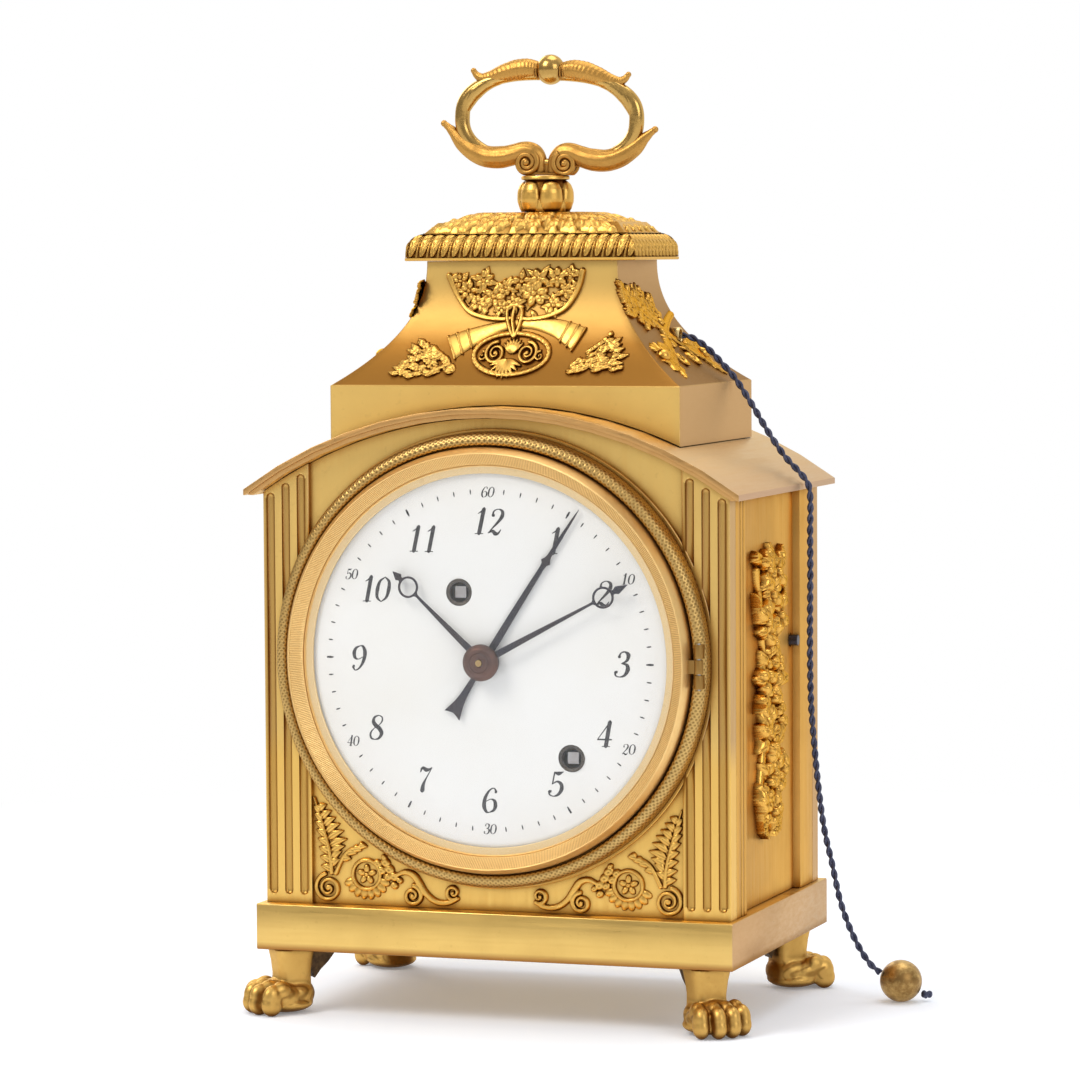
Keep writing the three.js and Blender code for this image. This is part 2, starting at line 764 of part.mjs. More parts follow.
// The frame at the back, with the arched opening of the door and two hinge knuckles.
function rearFrame() {
  const low = plinthTop + seatGap;
  const plate = prism(archedOutline(-sideFace, sideFace, low, roofUnder - archGap), rearFrameFront, backFace, "y");
  const opening = archedOutline(-doorWidth / 2, doorWidth / 2, plinthTop + doorFoot, roofUnder - doorHead);
  const doorway = prism(opening, rearFrameFront - overrun, backFace + overrun, "y");
  const knuckles = [];
  const bores = [];
  for (const side of [0, 2]) {
    const middle = knuckleHeights(doorHingeHeight, doorKnuckleLength, knuckleGap)[side];
    const z = [middle - doorKnuckleLength / 2, middle + doorKnuckleLength / 2];
    const leaf = block(doorHingeX - doorLeafWidth, doorHingeX, backFace - seatGap, backFace + doorLeafThickness, ...z);
    knuckles.push(leaf, moved(disc(knuckleRadius, ...z, rodSteps, "z"), doorHingeX, doorHingeY, 0));
    bores.push(moved(disc(hingeBore, z[0] - overrun, z[1] + overrun, pinSteps, "z"), doorHingeX, doorHingeY, 0));
  }
  return cut(join(cut(plate, doorway), ...knuckles), ...bores);
}

// The door at the back, with its middle knuckle and its knob.
function backDoor() {
  const half = doorWidth / 2 - doorGap;
  const outline = archedOutline(-half, half, plinthTop + doorFoot + doorGap, roofUnder - doorHead - doorGap);
  const plate = prism(outline, backFace - doorThickness, backFace, "y");
  const z = [doorHingeHeight - doorKnuckleLength / 2, doorHingeHeight + doorKnuckleLength / 2];
  const strap = block(doorHingeX, -half + doorLeafWidth, backFace + looseGap, backFace + doorLeafThickness, ...z);
  const pad = block(-half, -half + doorLeafWidth, backFace - overrun, backFace + doorLeafThickness, ...z);
  const barrel = moved(disc(knuckleRadius, ...z, rodSteps, "z"), doorHingeX, doorHingeY, 0);
  const bore = moved(disc(hingeBore, z[0] - overrun, z[1] + overrun, pinSteps, "z"), doorHingeX, doorHingeY, 0);
  const knob = moved(disc(knobRadius, backFace - overrun, backFace + knobLength, rodSteps), half - knobInset, 0, doorHingeHeight);
  return cut(join(plate, strap, pad, barrel, knob), bore);
}

// A hinge pin through three knuckles of a length.
function hingePin(middle, length, x, y) {
  const half = 3 * length / 2 + 2 * knuckleGap;
  return moved(disc(hingePinRadius, middle - half, middle + half, pinSteps, "z"), x, y, 0);
}

// One layer of the arched roof, between two arcs, with its eaves cut level underneath.
function roofLayer(outer, inner, width, depth) {
  const half = width / 2;
  const foot = Math.sqrt(inner * inner - (eaveHeight - archHeight) * (eaveHeight - archHeight));
  const outline = new THREE.Shape();
  outline.moveTo(half, eaveHeight);
  for (let i = 0; i <= archSteps; i += 1) {
    const x = half - width * i / archSteps;
    outline.lineTo(x, archAt(outer, x));
  }
  outline.lineTo(-half, eaveHeight);
  for (let i = 0; i <= archSteps; i += 1) {
    const x = -foot + 2 * foot * i / archSteps;
    outline.lineTo(x, archAt(inner, x));
  }
  outline.closePath();
  return prism(outline, -depth / 2, depth / 2, "y");
}

// The roof has two layers, so its front and back edges show a step. A hatch leads up into the hood.
function roof() {
  const upper = roofLayer(roofArcRadius, roofUnder + roofLowerBand, roofWidth, roofDepth);
  const lowerWidth = roofWidth - 2 * roofLowerInset;
  const lower = roofLayer(roofArcRadius - looseGap, roofUnder, lowerWidth, roofDepth - 2 * roofLowerInset);
  const hatch = moved(slab(roofHatchWidth, roofHatchDepth, eaveHeight, blockTop), roofHatchX, 0, 0);
  return cut(join(upper, lower), hatch);
}

// Half the hood's width and depth at a height: it flares from the neck down to the block.
function hoodHalf(height) {
  const climb = THREE.MathUtils.clamp((height - blockTop) / (hoodTop - blockTop), 0, 1);
  const share = 1 - Math.pow(1 - climb, hoodCurvePower);
  return [
    THREE.MathUtils.lerp(blockWidth, neckWidth, share) / 2,
    THREE.MathUtils.lerp(blockDepth, neckDepth, share) / 2,
  ];
}

// The hood's form grown outwards by a distance, from one height to another.
function hoodForm(grow, low, high) {
  const levels = [];
  for (let i = 0; i <= hoodLevels; i += 1) {
    const z = low + (high - low) * i / hoodLevels;
    const [x, y] = hoodHalf(z);
    levels.push([x + grow, y + grow, z]);
  }
  return levels;
}

// The hood is one casting with the block below it, which is cut to sit on the roof.
function hood() {
  const shell = hoodForm(0, blockTop, hoodTop);
  const inside = hoodForm(-hoodWall, blockTop, hoodTop);
  const first = inside[0];
  const last = inside[inside.length - 1];
  const base = [blockWidth / 2, blockDepth / 2, eaveHeight];
  const hollow = tiers([
    [first[0] + hoodWall - blockWall, first[1] + hoodWall - blockWall, eaveHeight - overrun],
    ...inside,
    [last[0], last[1], hoodTop + overrun],
  ]);
  const bed = new THREE.Shape();
  bed.moveTo(-blockWidth, 0);
  bed.lineTo(blockWidth, 0);
  for (let i = 0; i <= archSteps; i += 1) {
    const x = blockWidth / 2 + overrun - (blockWidth + 2 * overrun) * i / archSteps;
    bed.lineTo(x, archAt(roofArcRadius + archGap, x));
  }
  bed.closePath();
  const [side] = hoodHalf(eyeletHeight);
  const hole = disc(eyeletRadius + looseGap, side - 2 * hoodWall, side + 2 * hoodWall, rodSteps, "x");
  const floor = prism(bed, -blockDepth, blockDepth, "y");
  return cut(tiers([base, ...shell]), hollow, floor, moved(hole, 0, drumY, eyeletHeight));
}

// The cap: a rim, a rounded ovolo, a fillet and a sloped step, with a low cushion on top.
function cap() {
  const low = hoodTop + seatGap;
  const levels = [[0, low], [0, hoodTop + capRim]];
  for (let i = 1; i <= capOvoloSteps; i += 1) {
    const turn = Math.PI / 2 * i / capOvoloSteps;
    levels.push([capOvoloInset * (1 - Math.cos(turn)), hoodTop + capRim + capOvoloHeight * Math.sin(turn)]);
  }
  levels.push([capOvoloInset, capTop - capStepHeight], [capOvoloInset + capStepInset, capTop]);
  const moulding = tiers(levels.map(([inset, z]) => [capWidth / 2 - inset, capDepth / 2 - inset, z]));
  const cushion = tiers(rosetteShares.map(([size, up]) => [
    size * rosetteWidth / 2, size * rosetteDepth / 2, capTop + up * rosetteHeight,
  ]));
  return join(moulding, cushion);
}

// The knop: a turned bud with a small plate on top for the handle.
function knop() {
  const low = knopBase + seatGap;
  const neck = knopBase + knopHeight;
  const top = neck + knopPlateHeight;
  const belly = knopShares.map(([wide, up]) => [wide * knopRadius, knopBase + up * knopHeight]);
  const profile = [[0, low], [knopFootRadius, low], ...belly, [knopPlateRadius, neck], [knopPlateRadius, top], [0, top]];
  return turned(profile, drumSteps / 2 + 2, "z");
}

// A tapered rod between two points in the plane of x and z.
function horn(x0, z0, x1, z1) {
  const from = new THREE.Vector3(x0, 0, z0);
  const to = new THREE.Vector3(x1, 0, z1);
  const geometry = new THREE.CylinderGeometry(hornTipRadius, hornRadius, from.distanceTo(to), pinSteps);
  const lie = new THREE.Quaternion().setFromUnitVectors(new THREE.Vector3(0, 1, 0), to.clone().sub(from).normalize());
  geometry.applyQuaternion(lie);
  const middle = from.add(to).divideScalar(2);
  return solid(geometry.translate(middle.x, middle.y, middle.z));
}

// The carrying handle: an oval loop that rises from two volutes, with a ball on top and four leaf tips.
function handle() {
  const bow = (value) => Math.sign(value) * Math.pow(Math.abs(value), handleSquareness);
  const middle = (angle) => [
    handleHalfWidth * bow(Math.cos(angle)), handleMiddle + handleHalfHeight * bow(Math.sin(angle)),
  ];
  const loop = loopRod(middle, handleRodRadius, ringSteps, pinSteps);
  const ballTop = moved(egg(handleBallRadius, handleBallRadius, handleBallRadius), 0, 0,
    handleMiddle + handleHalfHeight + handleBallRise);
  const low = handleFoot + seatGap;
  const thick = voluteThickness / 2;
  const parts = [ballTop, block(-voluteSpread, voluteSpread, -thick, thick, low, low + 2 * voluteRadius)];
  for (const side of [-1, 1]) {
    const volute = disc(voluteRadius, -thick, thick, rodSteps);
    parts.push(moved(volute, side * voluteSpread, 0, low + voluteRadius));
    for (const [x0, z0, x1, z1] of hornShares) {
      parts.push(horn(
        side * x0 * handleHalfWidth, handleMiddle + z0 * handleHalfHeight,
        side * x1 * handleHalfWidth, handleMiddle + z1 * handleHalfHeight,
      ));
    }
  }
  return join(loop, ...parts);
}

// Where the knuckles of the bezel's hinge stand, from the lowest to the highest.
const bezelKnuckles = knuckleHeights(dialHeight, knuckleLength, knuckleGap);
const bezelHingeHalf = 3 * knuckleLength / 2 + knuckleGap;

// The rope ring round the bezel. At the hinge it makes way for the two fixed knuckles, which it carries.
function ropeRing() {
  const back = frontFace - seatGap;
  const width = ropeOuterRadius - ropeInnerRadius;
  const crest = ropeShares.map(([out, up]) => [ropeInnerRadius + out * width, frontFace - up * ropeProud]);
  const first = [ropeInnerRadius, back];
  const bead = turned([first, ...crest, [ropeOuterRadius, back], first], ringSteps);
  const notch = block(
    ropeInnerRadius - overrun, ropeOuterRadius + overrun, frontFace - bezelProud, frontFace + overrun,
    -bezelHingeHalf - looseGap, bezelHingeHalf + looseGap,
  );
  const open = moved(cut(bead, notch), 0, 0, dialHeight);
  const plateFront = frontFace - hingePlateProud;
  const reach = bezelHingeHalf + looseGap + overrun;
  const plate = block(ropeInnerRadius, ropeOuterRadius, plateFront, back, dialHeight - reach, dialHeight + reach);
  const lugs = [];
  const bores = [];
  for (const side of [0, 2]) {
    const z = [bezelKnuckles[side] - knuckleLength / 2, bezelKnuckles[side] + knuckleLength / 2];
    const web = block(bezelHingeX - earThickness / 2, bezelHingeX + earThickness / 2, bezelHingeY, back, ...z);
    lugs.push(web, moved(disc(knuckleRadius, ...z, rodSteps, "z"), bezelHingeX, bezelHingeY, 0));
    bores.push(moved(disc(hingeBore, z[0] - overrun, z[1] + overrun, pinSteps, "z"), bezelHingeX, bezelHingeY, 0));
  }
  return cut(join(open, plate, ...lugs), ...bores);
}

// The bezel: a skirt, a lip for the glass and a milled face that slopes forward, with the hinge's middle knuckle.
function bezel() {
  const back = frontFace - looseGap;
  const lipBack = frontFace - bezelLipProud + bezelLipThickness;
  const face = bezelOuterRadius - bezelLipThickness;
  const profile = [
    [bezelSkirtRadius, back], [bezelOuterRadius, back], [bezelOuterRadius, frontFace - bezelRimProud],
    [face, frontFace - bezelProud], [milledInnerRadius, frontFace - milledProud],
    [milledInnerRadius, frontFace - bezelLipProud], [sightRadius, frontFace - bezelLipProud],
    [sightRadius, lipBack], [bezelSkirtRadius, lipBack], [bezelSkirtRadius, back],
  ];
  const z = [bezelKnuckles[1] - knuckleLength / 2, bezelKnuckles[1] + knuckleLength / 2];
  const thick = earThickness / 2;
  const ear = block(bezelOuterRadius - overrun, bezelHingeX, bezelHingeY - thick, bezelHingeY + thick, ...z);
  const barrel = moved(disc(knuckleRadius, ...z, rodSteps, "z"), bezelHingeX, bezelHingeY, 0);
  const bore = moved(disc(hingeBore, z[0] - overrun, z[1] + overrun, pinSteps, "z"), bezelHingeX, bezelHingeY, 0);
  return cut(join(moved(turned(profile, ringSteps), 0, 0, dialHeight), ear, barrel), bore);
}

// A domed line from the rim to the axis, in steps of radius.
function domeLine(radius, rim, rise, fullness) {
  const line = [];
  for (let i = domeSteps; i >= 0; i -= 1) {
    const share = i / domeSteps;
    line.push([radius * share, rim - rise * (1 - Math.pow(share, fullness))]);
  }
  return line;
}

function glass() {
  const radius = milledInnerRadius - looseGap;
  const inner = domeLine(radius, glassSeat, glassRise, glassFullness);
  const outer = domeLine(radius, glassSeat - glassThickness, glassRise, glassFullness);
  return moved(turned([...inner.reverse(), ...outer], ringSteps), 0, 0, dialHeight);
}

// The enamel dial, with its centre hole, two winding holes and the feet that hold it to the front plate.
function dial() {
  const front = domeLine(dialRadius, dialFront, dialRise, 2);
  let body = turned([[0, dialBack], [dialRadius, dialBack], ...front], ringSteps);
  for (let i = 0; i < dialFeet; i += 1) {
    const [x, z] = besides([0, 0], dialFootCircle, 90 + 360 * i / dialFeet);
    body = join(body, moved(disc(dialFootRadius, dialBack - seatGap, frontPlateFront - seatGap, pinSteps), x, 0, z));
  }
  const reach = [dialMiddle - overrun, dialBack + overrun];
  const bore = disc(dialBoreRadius, ...reach, rodSteps);
  const hole = disc(windingHoleRadius, ...reach, rodSteps);
  return moved(cut(body, bore, moved(hole, goingX, 0, goingZ), moved(hole, strikeX, 0, strikeZ)), 0, 0, dialHeight);
}

// A hand's outline from one side of it, mirrored to the other, in [half width, distance from the hub].
function handOutline(right) {
  const outline = new THREE.Shape();
  const left = right.map(([x, z]) => [-x, z]).reverse();
  [...right, ...left].forEach(([x, z], i) => (i ? outline.lineTo(x, z) : outline.moveTo(x, z)));
  outline.closePath();
  return outline;
}

// A flat hand that bends back towards the dial as it leaves the hub, with its front face at the hub at front.
function handBlade(outline, back) {
  const geometry = new THREE.ExtrudeGeometry(outline, { depth: handThickness, bevelEnabled: false, curveSegments: pinSteps });
  geometry.rotateX(Math.PI / 2).translate(0, back, 0);
  const place = geometry.attributes.position;
  for (let i = 0; i < place.count; i += 1) {
    const reach = place.getX(i) * place.getX(i) + place.getZ(i) * place.getZ(i);
    place.setY(i, place.getY(i) + handSag * reach / (minuteLength * minuteLength));
  }
  return solid(geometry);
}

// An hour or minute hand: a tapered blade, an open ring and a spear point.
function ringedHand(length, ringShare, back, bore) {
  const ringAt = length * ringShare;
  const right = [];
  for (const share of [0, 1 / 3, 2 / 3]) {
    right.push([THREE.MathUtils.lerp(handRootWidth, handNeckWidth, share) / 2, share * (ringAt - handRing)]);
  }
  for (let i = 0; i <= handRingSteps; i += 1) {
    const turn = THREE.MathUtils.degToRad(ringNeckAngle * (2 * i / handRingSteps - 1));
    right.push([handRing * Math.cos(turn), ringAt + handRing * Math.sin(turn)]);
  }
  const ringTop = ringAt + handRing;
  right.push([spearWidth / 2, ringTop + spearShare * (length - ringTop)], [handPointWidth / 2, length]);
  const outline = handOutline(right);
  outline.holes.push(new THREE.Path().absarc(0, ringAt, handRing * ringEyeShare, 0, 2 * Math.PI, true));
  const boss = disc(bossRadius, back - handThickness, back, rodSteps);
  return cut(join(handBlade(outline, back), boss), disc(bore, back - bossRadius, back + bossRadius, rodSteps));
}

// The alarm hand, with its flared tail, its pipe and the notched cam behind the dial.
function alarmHand() {
  const point = alarmShares.map(([up, wide]) => [wide * alarmHandWidth / 2, up * alarmLength]);
  const tail = alarmTailShares.map(([up, wide]) => [wide * alarmTailWidth / 2, -up * alarmTail]).reverse();
  const outline = handOutline([...tail, ...point, [handPointWidth / 2, alarmLength]]);
  const blade = handBlade(outline, alarmHandBack);
  const front = alarmHandBack - handThickness;
  const camFront = frontPlateFront - alarmCamSetback;
  const camBack = camFront + motionWheelThickness;
  const boss = disc(bossRadius, front, alarmHandBack, rodSteps);
  const pipe = disc(alarmPipe, front, camBack, rodSteps);
  const notch = block(
    alarmCamRadius - alarmNotchDepth, alarmCamRadius + overrun, camFront - overrun, camBack + overrun,
    -alarmNotchWidth / 2, alarmNotchWidth / 2,
  );
  const cam = cut(disc(alarmCamRadius, camFront, camBack, 2 * rodSteps), notch);
  return cut(join(blade, boss, pipe, cam), disc(alarmBore, front - overrun, camBack + overrun, rodSteps));
}

// The collet that holds the hands on the centre arbor: a dished disc.
function hubCollet() {
  const bore = arborRadius + 2 * seatGap;
  const rim = hubFront + hubThickness / 2;
  return turned([
    [bore, hubBack], [hubRadius, hubBack], [hubRadius, rim], [hubRadius * hubRimShare, hubFront],
    [bore, hubFront], [bore, hubBack],
  ], rodSteps * 2);
}

// Places of the arbors in the plane of the plates, from the centre of the dial.
const centrePlace = [0, 0];
const goingPlace = [goingX, goingZ];
const strikePlace = [strikeX, strikeZ];
const minutePlace = [-cannonPinionRadius - minuteWheelRadius, 0];
const thirdPlace = besides(centrePlace, centreWheelRadius + thirdPinionRadius, thirdBearing);
const fourthPlace = besides(thirdPlace, thirdWheelRadius + fourthPinionRadius, fourthBearing);
const escapePlace = besides(fourthPlace, fourthWheelRadius + escapePinionRadius, escapeBearing);
const balancePlace = besides(escapePlace, balanceReach, balanceBearing);
const pinWheelPlace = besides(strikePlace, barrelRadius + pinWheelPinionRadius, 180);
const flyPlace = besides(pinWheelPlace, pinWheelRadius + flyPinionRadius, flyBearing);
const bellPlace = [bellX, bellZ];
const hammerPlace = [
  bellX - bellRadius - hammerGap - hammerHeadRadius, bellZ + hammerReach,
];

// Holes for arbors through a plate between two faces.
function arborHoles(places, radius, low, high) {
  return places.map(([x, z]) => moved(disc(radius, low - overrun, high + overrun, rodSteps), x, 0, z));
}

const windingHole = windingArborRadius + arborHole - arborRadius;
const plateCorners = [[-1, -1], [-1, 1], [1, -1], [1, 1]].map(([x, z]) => [
  x * (plateHalf - pillarInset), z * (plateHalf - pillarInset),
]);

// The front plate, with four pillars to the back plate, four posts to the front wall and the minute wheel's stud.
function frontPlate() {
  const plate = block(-plateHalf, plateHalf, frontPlateFront, frontPlateBack, -plateHalf, plateHalf);
  const middle = (frontPlateBack + backPlateFront) / 2;
  const end = backPlateFront - seatGap;
  const pillar = turned([
    [0, panelBack + seatGap], [pillarRadius, panelBack + seatGap], [pillarRadius, frontPlateBack],
    [pillarBellyRadius, middle], [pillarRadius, end], [0, end],
  ], rodSteps);
  const stud = disc(motionPostRadius, frontPlateFront - hourWheelSetback - overrun, frontPlateBack, pinSteps);
  const holes = [
    ...arborHoles([centrePlace, thirdPlace, fourthPlace, pinWheelPlace, flyPlace], arborHole, frontPlateFront, frontPlateBack),
    ...arborHoles([goingPlace, strikePlace], windingHole, frontPlateFront, frontPlateBack),
  ];
  const pillars = plateCorners.map(([x, z]) => moved(pillar, x, 0, z));
  return join(cut(plate, ...holes), ...pillars, moved(stud, minutePlace[0], 0, minutePlace[1]));
}

// The back plate, with the post of the bell.
function backPlate() {
  const plate = block(-plateHalf, plateHalf, backPlateFront, backPlateBack, -plateHalf, plateHalf);
  const places = [
    centrePlace, thirdPlace, fourthPlace, escapePlace, balancePlace, pinWheelPlace, flyPlace, hammerPlace,
  ];
  const holes = [
    ...arborHoles(places, arborHole, backPlateFront, backPlateBack),
    ...arborHoles([goingPlace, strikePlace], windingHole, backPlateFront, backPlateBack),
  ];
  const crown = backPlateBack + bellStandoff + bellDepth;
  const shoulder = crown - bellWall - looseGap;
  const nut = crown + looseGap;
  const post = turned([
    [0, backPlateFront], [bellPostFoot, backPlateFront], [bellPostFoot, shoulder], [bellPostRadius, shoulder],
    [bellPostRadius, nut], [bellNutRadius, nut], [bellNutRadius, nut + bellNutHeight], [0, nut + bellNutHeight],
  ], rodSteps);
  return join(cut(plate, ...holes), moved(post, bellX, 0, bellZ));
}

// The bell: an open bowl on its post, rim forward.
function bell() {
  const rim = backPlateBack + bellStandoff;
  const curve = (radius, depth) => {
    const line = [];
    for (let i = 0; i <= bellSteps; i += 1) {
      const turn = Math.PI / 2 * i / (bellSteps + 1);
      line.push([radius * Math.cos(turn), rim + depth * Math.sin(turn)]);
    }
    return line;
  };
  const bore = bellPostRadius + looseGap;
  const outer = curve(bellRadius, bellDepth);
  const inner = curve(bellRadius - bellWall, bellDepth - bellWall).reverse();
  const crown = rim + bellDepth;
  return turned([...outer, [bore, crown], [bore, crown - bellWall], ...inner, outer[0]], drumSteps);
}

// The hammer: an upright arm from its arbor to a round head beside the rim of the bell.
function hammer() {
  const low = backPlateBack + hammerStandoff;
  const arbor = disc(arborRadius, backPlateFront + arborEnd, low + hammerArmThickness, rodSteps);
  const half = hammerArmWidth / 2;
  const arm = block(-half, half, low, low + hammerArmThickness, -hammerReach, half);
  const head = disc(hammerHeadRadius, low - hammerHeadLength / 2, low + hammerHeadLength / 2, rodSteps);
  return join(arbor, arm, moved(head, 0, 0, -hammerReach));
}

// An arbor between the two plates, resting in their holes.
const plateArbor = (low = frontPlateFront + arborEnd, high = backPlateBack - arborEnd) =>
  disc(arborRadius, low, high, rodSteps);

const wheel = (teeth, radius, bore, low, thickness) => prism(toothed(teeth, radius, bore), low, low + thickness, "y");
const pinion = (radius, low, length = pinionLength) => disc(radius - toothPlay, low, low + length, pinSteps);

// A mainspring barrel: a toothed rim in front and a drum behind, turning freely on its winding arbor.
function barrel() {
  const rim = wheel(barrelTeeth, barrelRadius, 0, barrelFront, barrelToothThickness);
  const drum = disc(barrelRadius * barrelDrumShare, barrelFront + barrelToothThickness / 2, barrelFront + barrelLength, drumSteps);
  const bore = disc(windingArborRadius + looseGap, barrelFront - overrun, barrelFront + barrelLength + overrun, rodSteps);
  return cut(join(rim, drum), bore);
}

// A winding arbor, with a square at its front end just behind the face of the dial.
function windingArbor(reach) {
  const front = dialMiddle + dialRise * reach * reach / (dialRadius * dialRadius) + squareSetback;
  const half = windingSquare / 2;
  const round = disc(windingArborRadius, front + squareLength, backPlateBack + arborEnd, rodSteps);
  return join(round, block(-half, half, front, front + squareLength + overrun, -half, half));
}

const centreWheelFront = backPlateFront - centreWheelSetback - wheelThickness;
const thirdWheelFront = backPlateFront - thirdWheelSetback - wheelThickness;
const fourthWheelFront = backPlateBack + fourthWheelStandoff;

// The centre arbor runs from the back plate to the hub and carries the centre wheel and its pinion.
function centreWheel() {
  return join(
    plateArbor(hubFront),
    wheel(centreWheelTeeth, centreWheelRadius, 0, centreWheelFront, wheelThickness),
    pinion(centrePinionRadius, barrelFront - barrelSetback / 2),
  );
}

function thirdWheel() {
  return join(
    plateArbor(),
    wheel(thirdWheelTeeth, thirdWheelRadius, 0, thirdWheelFront, wheelThickness),
    pinion(thirdPinionRadius, centreWheelFront - wheelThickness, pinionLength - looseGap),
  );
}

function fourthWheel() {
  return join(
    plateArbor(frontPlateFront + arborEnd, fourthWheelFront + 2 * wheelThickness),
    wheel(fourthWheelTeeth, fourthWheelRadius, 0, fourthWheelFront, wheelThickness),
    pinion(fourthPinionRadius, thirdWheelFront - wheelThickness),
  );
}

function escapeWheel() {
  const low = backPlateBack + escapeStandoff;
  return join(
    plateArbor(backPlateFront + arborEnd, low + 2 * wheelThickness),
    wheel(escapeTeeth, escapeWheelRadius, 0, low, wheelThickness),
    pinion(escapePinionRadius, fourthWheelFront - wheelThickness / 2),
  );
}

// The balance: a rim, one arm and a staff from the back plate to the cock.
function balance() {
  const low = backPlateBack + balanceStandoff;
  const high = low + balanceThickness;
  const rim = ring(balanceRadius - balanceRimWidth, balanceRadius, low, high, drumSteps);
  const reach = balanceRadius - balanceRimWidth / 2;
  const arm = block(-reach, reach, low, high, -balanceArmWidth / 2, balanceArmWidth / 2);
  const staff = disc(staffRadius, backPlateFront + arborEnd, backPlateBack + cockStandoff + cockThickness / 2, pinSteps);
  return join(rim, arm, staff);
}

// The cock that holds the back end of the balance staff: a foot on the plate and an arm over the balance.
function balanceCock() {
  const low = backPlateBack + seatGap;
  const bridge = backPlateBack + cockStandoff;
  const half = cockWidth / 2;
  const footPart = block(-half, half, low, bridge + cockThickness, cockSpan - half / 2, cockSpan + half);
  const arm = block(-half / 2, half / 2, bridge, bridge + cockThickness, -half / 2, cockSpan);
  const hole = disc(staffRadius + looseGap, bridge - overrun, bridge + cockThickness + overrun, pinSteps);
  return cut(join(footPart, arm), hole);
}

// The cannon pinion turns the minute wheel and carries the minute hand on its pipe.
function cannonPinion() {
  const back = frontPlateFront - cannonSetback;
  const front = minuteHandBack - handThickness;
  const toothFront = frontPlateFront - minuteWheelSetback - motionWheelThickness;
  const teeth = wheel(cannonTeeth, cannonPinionRadius, 0, toothFront, motionWheelThickness);
  return cut(join(disc(cannonPipe, front, back, rodSteps), teeth), disc(cannonBore, front - overrun, back + overrun, rodSteps));
}

function minuteWheel() {
  const front = frontPlateFront - minuteWheelSetback - motionWheelThickness;
  const pinionFront = frontPlateFront - hourWheelSetback - motionWheelThickness;
  const body = join(
    wheel(minuteWheelTeeth, minuteWheelRadius, 0, front, motionWheelThickness),
    wheel(motionPinionTeeth, motionPinionRadius, 0, pinionFront, front - pinionFront + motionWheelThickness / 2),
  );
  return cut(body, disc(motionBore, pinionFront - overrun, front + 2 * overrun, rodSteps));
}

// The hour wheel carries the hour hand on its pipe, over the cannon pinion's.
function hourWheel() {
  const wheelFront = frontPlateFront - hourWheelSetback - motionWheelThickness;
  const front = hourHandBack - handThickness;
  const back = wheelFront + motionWheelThickness;
  const teeth = wheel(hourWheelTeeth, hourWheelRadius, 0, wheelFront, motionWheelThickness);
  return cut(join(teeth, disc(hourPipe, front, back, rodSteps)), disc(hourBore, front - overrun, back + overrun, rodSteps));
}

// The pin wheel of the strike, with the pins that lift the hammer.
function pinWheel() {
  let body = join(
    plateArbor(),
    wheel(pinWheelTeeth, pinWheelRadius, 0, centreWheelFront, wheelThickness),
    pinion(pinWheelPinionRadius, barrelFront - barrelSetback / 2),
  );
  const back = centreWheelFront + wheelThickness;
  for (let i = 0; i < liftingPins; i += 1) {
    const [x, z] = besides([0, 0], pinWheelRadius * liftingPinShare, 360 * i / liftingPins);
    body = join(body, moved(disc(liftingPinRadius, back - wheelThickness / 2, back + liftingPinLength, pinSteps / 2), x, 0, z));
  }
  return body;
}

// The fly: two vanes that slow the strike.
function fly() {
  const low = frontPlateBack + flySetback;
  const thin = flyThickness / 2;
  return join(
    plateArbor(),
    block(-flyReach, flyReach, low, low + flyLength, -thin, thin),
    pinion(flyPinionRadius, centreWheelFront - wheelThickness, pinionLength - looseGap),
  );
}

// The repeating drum in the hood, turned by the cord.
function repeatDrum() {
  const half = drumWidth / 2;
  const edge = half + drumFlangeThickness;
  const end = edge + runGap + cheekThickness;
  return join(
    disc(drumArborRadius, -end, end, rodSteps),
    disc(drumRadius, -edge, edge, drumSteps / 2),
    disc(drumFlange, -edge, -half, drumSteps / 2),
    disc(drumFlange, half, edge, drumSteps / 2),
  );
}

// The bracket that carries the drum's arbor: two cheeks on a base that sits on the roof.
function drumBracket() {
  const inner = drumWidth / 2 + drumFlangeThickness + runGap;
  const outer = inner + cheekThickness;
  const wide = bracketWidth / 2;
  const top = drumHeight - drumFlange - runGap;
  const low = roofTop - cheekWidth;
  const base = block(drumX - wide, drumX + wide, drumY - outer, drumY + outer, low, top);
  const cheeks = [-1, 1].map((side) => {
    const y = drumY + side * (inner + outer) / 2;
    const half = cheekThickness / 2;
    const high = drumHeight + cheekWidth / 2;
    return block(drumX - cheekWidth / 2, drumX + cheekWidth / 2, y - half, y + half, low, high);
  });
  const hole = disc(drumArborRadius + looseGap, -2 * outer, 2 * outer, rodSteps);
  const bed = moved(disc(roofArcRadius + looseGap, -blockDepth, blockDepth, 4 * ringSteps), 0, 0, archHeight);
  return cut(join(base, ...cheeks), moved(hole, drumX, drumY, drumHeight), bed);
}

// The eyelet in the hood's right side that the cord runs out through.
function eyelet() {
  const [side] = hoodHalf(eyeletHeight);
  return moved(ring(eyeletBore, eyeletRadius, side - 2 * hoodWall, side + eyeletProud, rodSteps, "x"), 0, drumY, eyeletHeight);
}

// The stop button: a pin through the right wall with a flange that keeps it in.
function stopButton() {
  const flange = sideInner - runGap;
  const body = join(
    disc(buttonRadius, flange - buttonFlangeThickness, recessFace + buttonProud, rodSteps, "x"),
    disc(buttonFlange, flange - buttonFlangeThickness, flange, rodSteps, "x"),
  );
  return moved(body, 0, buttonY, buttonHeight);
}

